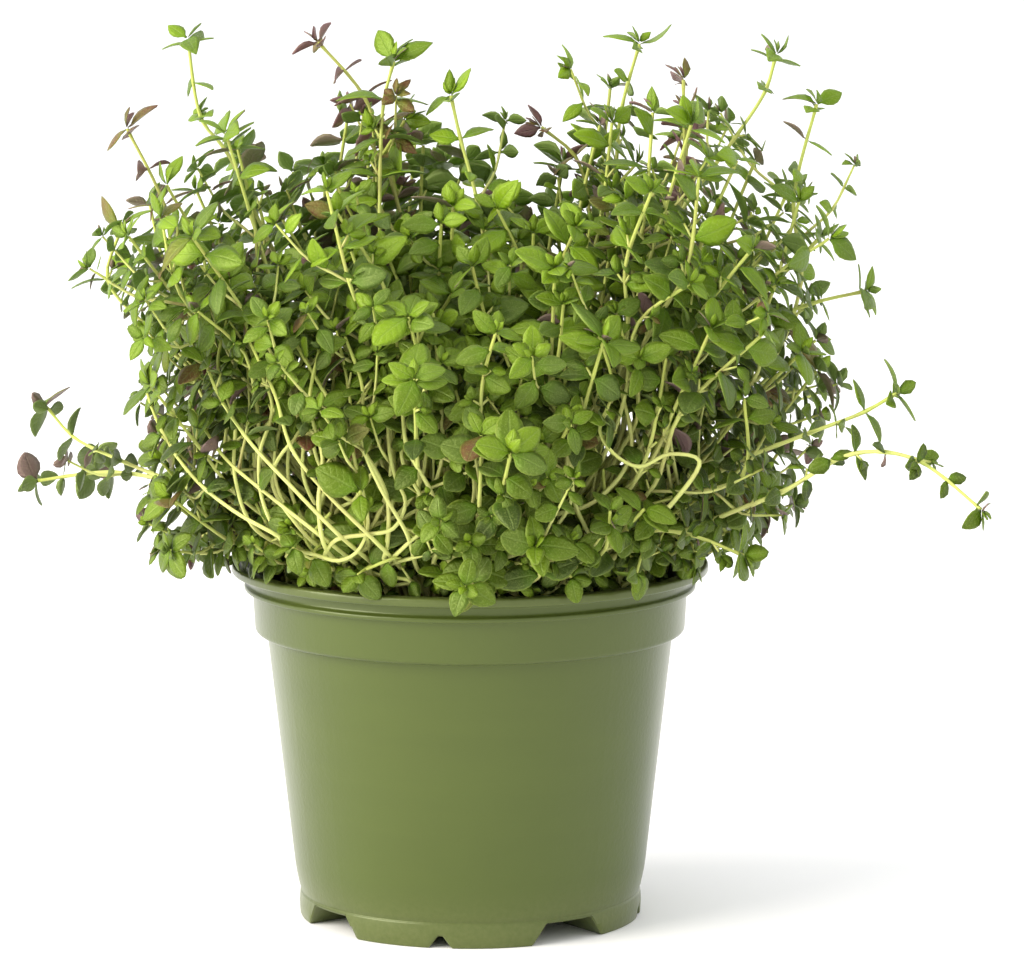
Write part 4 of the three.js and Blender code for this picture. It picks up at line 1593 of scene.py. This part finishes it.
# The bare stems that show at the front, from where they come over the rim to their leafy end
frontArches = [
    [(-33, -47, 92), (-30, -55, 99), (-23, -57, 100.5), (-17, -58, 102), (-14.2, -58, 108), (-16.6, -57, 114),
     (-18.2, -55, 124), (-16, -51, 138), (-17, -46, 150)],
    [(-19.6, -48, 91), (-18.6, -54, 97), (-18, -57, 104), (-18.6, -58, 110), (-22, -57, 117), (-27, -56, 124),
     (-33, -52, 133), (-40, -46, 144)],
    [(-42, -36, 92), (-37, -49, 95), (-29.5, -54, 94), (-25.5, -55, 96), (-22.8, -56, 102), (-23.6, -57, 109),
     (-26, -56, 119), (-27, -52, 132), (-30, -47, 146)],
    [(-19, -47, 91), (-14, -56, 98), (-9, -58, 103), (-10.5, -58, 109), (-15, -56, 118), (-13, -53, 130),
     (-9, -48, 143)],
    [(-38, -40, 92), (-43, -44, 97), (-47.5, -44, 107), (-48, -44, 117), (-45, -43, 128), (-50, -38, 140),
     (-52, -34, 150)],
    [(-30, -43, 92), (-38, -49, 100), (-45, -49, 112), (-40, -50, 121), (-33, -51, 124), (-24, -52, 131),
     (-20, -50, 141)],
    [(33, -40, 92), (44, -47, 103), (53, -47, 116), (46, -50, 118), (39, -53, 115.5), (33, -55, 119),
     (30, -55, 124), (33, -52, 133), (30, -48, 145)],
    [(-26, -45, 92), (-34, -54, 100), (-45, -50, 108), (-56, -42, 116), (-64, -32, 126)],
    [(-22, -46, 92), (-30, -57, 101), (-40, -55, 111), (-50, -50, 121), (-58, -42, 132), (-62, -34, 142)],
    [(-16, -48, 92), (-22, -58, 100), (-32, -58, 110), (-40, -56, 120), (-44, -52, 132), (-50, -44, 143)],
    [(-29, -42, 91), (-33, -54, 98), (-34, -57, 108), (-33, -57, 118), (-36, -54, 130), (-34, -50, 142)],
    [(-12, -49, 92), (-14, -58, 101), (-20, -60, 112), (-24, -59, 122), (-24, -55, 134), (-28, -50, 145)],
    [(-35, -39, 92), (-44, -48, 99), (-54, -44, 104), (-64, -36, 111), (-72, -26, 121), (-76, -20, 130)],
    [(-8, -49, 92), (-6, -58, 101), (-8, -60, 110), (-14, -60, 122), (-14, -56, 136), (-10, -50, 147)],
    [(-39, -33, 92), (-50, -40, 100), (-54, -40, 112), (-54, -38, 124), (-58, -34, 136), (-56, -30, 147)],
]


def boxOf(path):
    return [(min(point[i] for point in path), max(point[i] for point in path)) for i in range(3)]


def nearPaths(path, laid, spare):
    # The laid paths whose boxes come near a path's own
    box = boxOf(path)
    return [other for other, there in laid
            if all(box[i][0] - spare < there[i][1] and there[i][0] - spare < box[i][1] for i in range(3))]


def layCompanions(placed, draw):
    # More shoots of the same rule between those of the solids
    laid = [(shoot["path"], boxOf(shoot["path"])) for shoot in placed]
    made = []
    wanted = []
    for k in range(companions["count"]):
        share = ((k + 0.5) / companions["count"]) ** companions["upward"]
        rise = mixed(companions["lowest"], companions["highest"], share)
        wanted.append((k + 0.5, share, rise, companions["tipShare"]))
    for middle, spread, count, steepness in companions["lobes"]:
        for i in range(count):
            turn = math.radians(middle + spread * (2 * draw() - 1))
            rise = mixed(*steepness, draw())
            share = (rise - companions["lowest"]) / (companions["highest"] - companions["lowest"])
            wanted.append((turn / goldenTurn, share, rise, companions["lobeTip"]))
    for k, share, rise, tipShare in wanted:
        baseOut = companions["baseRadius"] * math.sqrt(1 - companions["baseFall"] * share)
        baseOut *= mixed(*companions["baseShare"], draw())
        for _ in range(companions["tries"]):
            base, pairs, way = layShoot(share, k, draw, rise, tipShare, baseOut)
            pairs = [plus(pair, times((draw() - 0.5, draw() - 0.5, draw() - 0.5), 2 * companions["wander"]))
                     for pair in pairs]
            path = stemPath(base, pairs, way, share)
            line, _ = smoothPath(path, stemForm["step"])
            near = nearPaths(path, laid, companions["apart"])
            if clearOfStems(path, near, companions["apart"]) and fits(line, plant["boxRoom"]):
                laid.append((path, boxOf(path)))
                leaf = mixed(*companions["leaf"], draw())
                red = companions["red"] if draw() < companions["redShare"] else 0
                leaf = leaf * companions["redLeaf"] if red else leaf
                bare = mixed(*companions["bare"], share)
                made.append({"path": path, "leaf": leaf, "red": red, "bare": bare})
                break
    return made


def aroundPot(out, turn, height):
    # A point by its distance from the pot's axis, its degrees round the pot and its height
    angle = math.radians(turn)
    return (out * math.sin(angle), -out * math.cos(angle), height)


lowRing = {
    "root": 4,
    "crowding": 0.35,  # of the shoots round the pot, as a share of their pitch
    "stray": 9,  # degrees that a bend may lie to either side
}


def layRing(ring, draw):
    # Low shoots that lean over the rim, all round
    made = []
    for k in range(ring["count"]):
        turn = 360 * (k + mixed(-lowRing["crowding"], lowRing["crowding"], draw())) / ring["count"]
        spread = [turn + mixed(-lowRing["stray"], lowRing["stray"], draw()) for _ in range(3)]
        path = [aroundPot(mixed(*ring["foot"], draw()), turn, soilShape["top"] - lowRing["root"])]
        path.append(aroundPot(math.hypot(*path[0][:2]) + 1, turn, soilShape["top"] + ring["neck"]))
        for place, way in zip(("over", "rim", "tip"), spread):
            path.append(aroundPot(mixed(*ring[place], draw()), way, mixed(*ring[place + "Height"], draw())))
        made.append({"path": path, "leaf": mixed(*ring["leaf"], draw()), "red": 0, "bare": ring["bare"]})
    return made


def archOf(path, draw):
    return {"path": path, "leaf": mixed(*arches["leaf"], draw()), "red": 0, "bare": arches["bare"],
            "radii": arches["radii"], "step": arches["step"]}


def layArches(draw):
    # Bare stems that run beside the rim before they climb, and those that the front shows
    made = []
    for k in range(arches["count"] + arches["thinCount"]):
        turn = 360 * (k + mixed(-arches["crowding"], arches["crowding"], draw())) / arches["count"]
        if k >= arches["count"]:
            turn = mixed(*arches["thinTurns"], (k - arches["count"]) / arches["thinCount"])
        sweep = mixed(*arches["sweep"], draw()) * (1 if draw() < 0.5 else -1)
        lift = mixed(*arches["lift"], draw())
        out = mixed(*arches["out"], draw())
        foot = mixed(*arches["foot"], draw())
        further, share, height = arches["neck"]
        path = [aroundPot(foot, turn, soilShape["top"] - arches["root"]),
                aroundPot(foot + further, turn + share * sweep, height)]
        path += [aroundPot(far + out, turn + share * sweep, height + lift)
                 for far, share, height in arches["bends"]]
        made.append(archOf(path, draw))
    for shown in frontArches:
        turn = turnOf(shown[0])
        path = [aroundPot(arches["shownFoot"], turn, soilShape["top"] - arches["root"]),
                aroundPot(arches["shownNeck"], turn, potShape["height"])]
        made.append(archOf(path + shown, draw))
    return made


def dressCompanion(source, owner, draw):
    step = source.get("step", stemForm["companionStep"])
    shoot = newShoot("", source["path"], source["red"], source["leaf"], step)
    arcs = arcLengths(shoot["line"])
    nodes = []
    arc = arcs[-1] - plant["nodePitch"] * companions["topNode"]
    turn = draw() * math.pi
    while arc > source["bare"] * arcs[-1]:
        nodes.append((arc, turn))
        low = duskAt(pointOn(shoot["line"], arcs, arc))
        arc -= plant["nodePitch"] * mixed(*companions["pitch"], draw()) * (1 - plant["lowSmall"] * low)
        turn += math.pi / 2
    addStem(shoot, shoot["line"], source.get("radii", plant["radii"]), (node[0] for node in nodes),
            stemForm["companionSides"])
    for arc, turn in nodes:
        way = arc / arcs[-1]
        share = np.interp(way, *companions["taper"])
        growNode(shoot, owner, arc, arcs, turn, share, youngAt(way, companions["youngShare"]), draw)
    tip, way = placeOn(shoot["line"], arcs, arcs[-1])
    turn = draw() * math.pi
    length = source["leaf"] * companions["budLeaf"]
    addClosePairs(shoot, plant["budPairs"], tip, way, turn, length, owner, draw)
    return shoot


# Leaf and stem finishes

leafFinish = {
    "deep": "142C04",
    "plain": "80A016",
    "cool": "10300C",
    "dusky": "4A5A40",
    # painted shade: the dark green towards which leaves low on the plant and deep in the crown are darkened
    "low": "122203",
    "paintedShadeShare": 0.72,
    "young": "8AAA22",
    "base": "4C7A0C",  # where a leaf joins its stem
    "red": "6E4036",
    "redUnder": "906878",
    "under": "7C8C5A",
    "vein": "92A85C",
    "margin": "A6BE50",
    "down": "AABC62",  # the short pale hairs
    "glow": "A4CC18",
    "paintedShadeGlow": "3A5606",
    "redGlow": "B05040",
    "glowShare": 0.26,
    "gloss": 0.95,
    "sheen": "E2F4A2",
    "roughness": (0.28, 0.46),
}


def makeLeafFinish():
    material, tree = newMaterial("thymeLeaf")
    place = addNode(tree, "ShaderNodeAttribute", attribute_name="leafPlace").outputs["Vector"]
    kind = addNode(tree, "ShaderNodeAttribute", attribute_name="leafKind").outputs["Vector"]
    under = addNode(tree, "ShaderNodeAttribute", attribute_name="leafUnder").outputs["Fac"]
    placed = addNode(tree, "ShaderNodeSeparateXYZ", {0: place})
    kinds = addNode(tree, "ShaderNodeSeparateXYZ", {0: kind})
    mottle = placeGroup(tree, softMottle, {"Patch Scale": 260.0, "Grain Scale": 2900.0, "Contrast": 0.3})
    side = mathNode(tree, "ABSOLUTE", placed.outputs["Y"])
    bright = mathNode(tree, "POWER", kinds.outputs["X"], 2.0)
    tint = mathNode(tree, "ADD", mathNode(tree, "MULTIPLY", bright, 0.85),
                    mathNode(tree, "MULTIPLY", mottle.outputs["Patches"], 0.2))
    # Painted light: leaves high up and at the crown's outside are lighter
    tint = mathNode(tree, "ADD", tint, stretchRange(tree, placed.outputs["Z"], 0.0, 0.5, 0.26, 0.0))
    colour = blendColours(tree, tint, paint(leafFinish["deep"]), paint(leafFinish["plain"]))
    cool = stretchRange(tree, kinds.outputs["X"], 0.3, 0.1, 0.0, 0.75)
    colour = blendColours(tree, cool, colour, paint(leafFinish["cool"]))
    waxy = stretchRange(tree, kinds.outputs["X"], 0.22, 0.4, 1.5, 0.12)
    dusk = mathNode(tree, "MULTIPLY", placed.outputs["Z"], waxy, clamp=True)
    colour = blendColours(tree, dusk, colour, paint(leafFinish["dusky"]))
    # Painted shade: leaves darken with their height and depth in the crown, where less light reaches
    low = stretchRange(tree, placed.outputs["Z"], 0.25, 0.85, 0.0, leafFinish["paintedShadeShare"])
    colour = blendColours(tree, low, colour, paint(leafFinish["low"]))
    nearStem = stretchRange(tree, placed.outputs["X"], 0.1, 0.6, 0.55, 0.0)
    colour = blendColours(tree, nearStem, colour, paint(leafFinish["base"]))
    colour = blendColours(tree, kinds.outputs["Y"], colour, paint(leafFinish["young"]))
    towardTip = stretchRange(tree, placed.outputs["X"], 0.0, 0.9, 0.7, 1.15)
    topRed = stretchRange(tree, kinds.outputs["Z"], 0.3, 0.9)
    redness = mathNode(tree, "MULTIPLY", topRed, towardTip, clamp=True)
    blotches = stretchRange(tree, mottle.outputs["Patches"], 0.0, 1.0, 0.72, 1.0)
    redness = mathNode(tree, "MULTIPLY", redness, blotches)
    colour = blendColours(tree, redness, colour, paint(leafFinish["red"]))
    rib = stretchRange(tree, side, 0.0, 0.14, 1.0, 0.0)
    slant = mathNode(tree, "SUBTRACT", mathNode(tree, "MULTIPLY", placed.outputs["X"], 6.5),
                     mathNode(tree, "MULTIPLY", side, 1.5))
    wave = mathNode(tree, "SINE", mathNode(tree, "MULTIPLY", slant, 2 * math.pi))
    veins = stretchRange(tree, wave, 0.72, 1.0)
    lines = mathNode(tree, "MAXIMUM", rib, mathNode(tree, "MULTIPLY", veins, 0.25))
    colour = blendColours(tree, mathNode(tree, "MULTIPLY", lines, 0.2), colour, paint(leafFinish["vein"]))
    margin = stretchRange(tree, side, 0.8, 1.0, 0.0, 0.6)
    colour = blendColours(tree, margin, colour, paint(leafFinish["margin"]))
    down = stretchRange(tree, mottle.outputs["Grain"], 0.5, 0.7, 0.0, 0.34)
    colour = blendColours(tree, down, colour, paint(leafFinish["down"]))
    underRed = stretchRange(tree, kinds.outputs["Z"], 0.0, 0.35, 0.0, 0.85)
    beneath = blendColours(tree, 0.35, paint(leafFinish["under"]), colour)
    beneath = blendColours(tree, underRed, beneath, paint(leafFinish["redUnder"]))
    colour = blendColours(tree, under, colour, beneath)
    swell = mathNode(tree, "MULTIPLY", wave, -0.06)
    height = mathNode(tree, "SUBTRACT", mathNode(tree, "MULTIPLY", mottle.outputs["Grain"], 0.5),
                      mathNode(tree, "MULTIPLY", lines, 0.6))
    height = mathNode(tree, "ADD", height, swell)
    bump = addNode(tree, "ShaderNodeBump", {"Strength": 0.6, "Distance": 0.0003, "Height": height})
    rough = stretchRange(tree, mottle.outputs["Grain"], 0.3, 0.7, *leafFinish["roughness"])
    shader = addNode(tree, "ShaderNodeBsdfPrincipled", {
        "Base Color": colour, "Roughness": rough, "IOR": 1.42, "Specular IOR Level": leafFinish["gloss"],
        "Specular Tint": paint(leafFinish["sheen"]), "Normal": bump.outputs[0]})
    # Painted shade in the translucent light of the low, deep leaves as well
    glowColour = blendColours(tree, low, paint(leafFinish["glow"]), paint(leafFinish["paintedShadeGlow"]))
    glowColour = blendColours(tree, redness, glowColour, paint(leafFinish["redGlow"]))
    glow = addNode(tree, "ShaderNodeBsdfTranslucent", {"Color": glowColour, "Normal": bump.outputs[0]})
    both = addNode(tree, "ShaderNodeMixShader", {0: leafFinish["glowShare"], 1: shader.outputs[0],
                                                 2: glow.outputs[0]})
    showShader(tree, both)
    return material


stemFinish = {
    "foot": "979052",
    "middle": "DCE288",
    "tip": "C4D066",
    "red": "8A5A46",
}


def makeStemFinish():
    material, tree = newMaterial("thymeStem")
    place = addNode(tree, "ShaderNodeAttribute", attribute_name="stemPlace").outputs["Vector"]
    placed = addNode(tree, "ShaderNodeSeparateXYZ", {0: place})
    mottle = placeGroup(tree, softMottle, {"Patch Scale": 130.0, "Grain Scale": 2600.0, "Contrast": 0.22})
    woody = stretchRange(tree, placed.outputs["X"], 0.05, 0.3, 1.0, 0.0)
    worn = stretchRange(tree, mottle.outputs["Patches"], 0.0, 1.0, 0.45, 1.0)
    woody = mathNode(tree, "MULTIPLY", woody, worn)
    fresh = stretchRange(tree, placed.outputs["X"], 0.55, 1.0)
    colour = blendColours(tree, fresh, paint(stemFinish["middle"]), paint(stemFinish["tip"]))
    colour = blendColours(tree, woody, colour, paint(stemFinish["foot"]))
    blush = stretchRange(tree, mottle.outputs["Patches"], 0.45, 0.95, 0.0, 0.4)
    redness = mathNode(tree, "MAXIMUM", mathNode(tree, "MULTIPLY", placed.outputs["Z"], 0.75),
                       mathNode(tree, "MULTIPLY", blush, 0.5))
    colour = blendColours(tree, redness, colour, paint(stemFinish["red"]))
    ridges = mathNode(tree, "SINE", mathNode(tree, "MULTIPLY", placed.outputs["Y"], 8 * math.pi))
    height = mathNode(tree, "ADD", mathNode(tree, "MULTIPLY", ridges, 0.3), mottle.outputs["Grain"])
    bump = addNode(tree, "ShaderNodeBump", {"Strength": 0.35, "Distance": 0.0002, "Height": height})
    rough = stretchRange(tree, mottle.outputs["Grain"], 0.3, 0.7, 0.42, 0.62)
    shader = addNode(tree, "ShaderNodeBsdfPrincipled", {
        "Base Color": colour, "Roughness": rough, "IOR": 1.42, "Normal": bump.outputs[0]})
    glow = addNode(tree, "ShaderNodeBsdfTranslucent", {"Color": colour, "Normal": bump.outputs[0]})
    both = addNode(tree, "ShaderNodeMixShader", {0: 0.2, 1: shader.outputs[0], 2: glow.outputs[0]})
    showShader(tree, both)
    return material


leafMaterial = makeLeafFinish()
stemMaterial = makeStemFinish()


def makeFoliage(name, parts, replaced):
    # One piece from the stems and leaves of one shoot or several
    points = []
    faces = []
    slots = []
    places = []
    kinds = []
    stemPlaces = []
    unders = []
    total = 0
    for form, key in ((leafForm, "leaves"), (smallLeafForm, "smallLeaves")):
        leaves = [leaf for part in parts for leaf in part[key]]
        if leaves:
            some, quads, place, kind, face = leafMeshes(leaves, form)
            faces += (quads + total).tolist()
            slots += [0] * len(quads)
            points.append(some)
            places.append(place)
            kinds.append(kind)
            stemPlaces.append(np.zeros_like(place))
            unders += face.tolist()
            total += len(some)
    for stem in (stem for part in parts for stem in part["stems"]):
        some, tube, place = stemMesh(stem)
        faces += [tuple(k + total for k in face) for face in tube]
        slots += [1] * len(tube)
        points.append(some)
        places.append(np.zeros_like(place))
        kinds.append(np.zeros_like(place))
        stemPlaces.append(place)
        unders += [0.0] * len(tube)
        total += len(some)
    piece = makePiece(name, np.concatenate(points), faces, [leafMaterial, stemMaterial])
    mesh = piece.data
    mesh.polygons.foreach_set("material_index", slots)
    keepVectors(mesh, "leafPlace", np.concatenate(places))
    keepVectors(mesh, "leafKind", np.concatenate(kinds))
    keepVectors(mesh, "stemPlace", np.concatenate(stemPlaces))
    attribute = mesh.attributes.new("leafUnder", "FLOAT", "FACE")
    attribute.data.foreach_set("value", np.array(unders, np.float32))
    mesh.update()
    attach(piece, "root")
    if replaced:
        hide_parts(*replaced)


# The pieces that the companion shoots make, round the pot from the front towards the right
eighths = ("front", "front_right", "right", "back_right", "back", "back_left", "left", "front_left")


def makePlant():
    draw = drawsFrom(plant["seed"])
    low = layArches(draw) + layRing(skirt, draw) + layRing(sprigs, draw)
    more = [shoot for shoot in low if fits(smoothPath(shoot["path"], stemForm["step"])[0], plant["boxRoom"])]
    print(f"{len(low) - len(more)} low shoots meet the pot, leave the box or hang too low, and are left out")
    more += layCompanions(shoots + more, draw)
    print(f"{len(more)} companion shoots are laid, with the low ones")
    for owner, source in enumerate(shoots + more):
        line, _ = smoothPath(source["path"], stemForm["step"])
        for point in line:
            takeRoom(tuple(point), plant["stemRoom"], owner)
    for owner, shoot in enumerate(shoots):
        for leaf in shoot["leaves"]:
            for point, radius in ballsOf(dict(leaf, bend=leafShape["bend"])):
                takeRoom(point, radius, owner)
    dressed = [dressPlacedShoot(source, owner, draw) for owner, source in enumerate(shoots)]
    companionsDressed = [dressCompanion(source, len(shoots) + i, draw) for i, source in enumerate(more)]
    for shoot in dressed:
        makeFoliage(shoot["name"] + "_leafy", [shoot], [shoot["name"]])
    groups = [[] for _ in eighths]
    wide = 360 / len(eighths)
    for shoot in companionsDressed:
        groups[int((turnOf(shoot["line"][-1]) + wide / 2) % 360 // wide)].append(shoot)
    for name, group in zip(eighths, groups):
        makeFoliage(f"companion_shoots_{name}", group, [])
    for key, kind in (("leaves", "large"), ("smallLeaves", "small")):
        print(f"{sum(len(shoot[key]) for shoot in dressed + companionsDressed)} {kind} leaves")


makePlant()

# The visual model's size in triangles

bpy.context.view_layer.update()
triangles = sum(len(p.vertices) - 2 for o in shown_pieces() for p in o.data.polygons)
print(f"the model has {triangles} triangles")
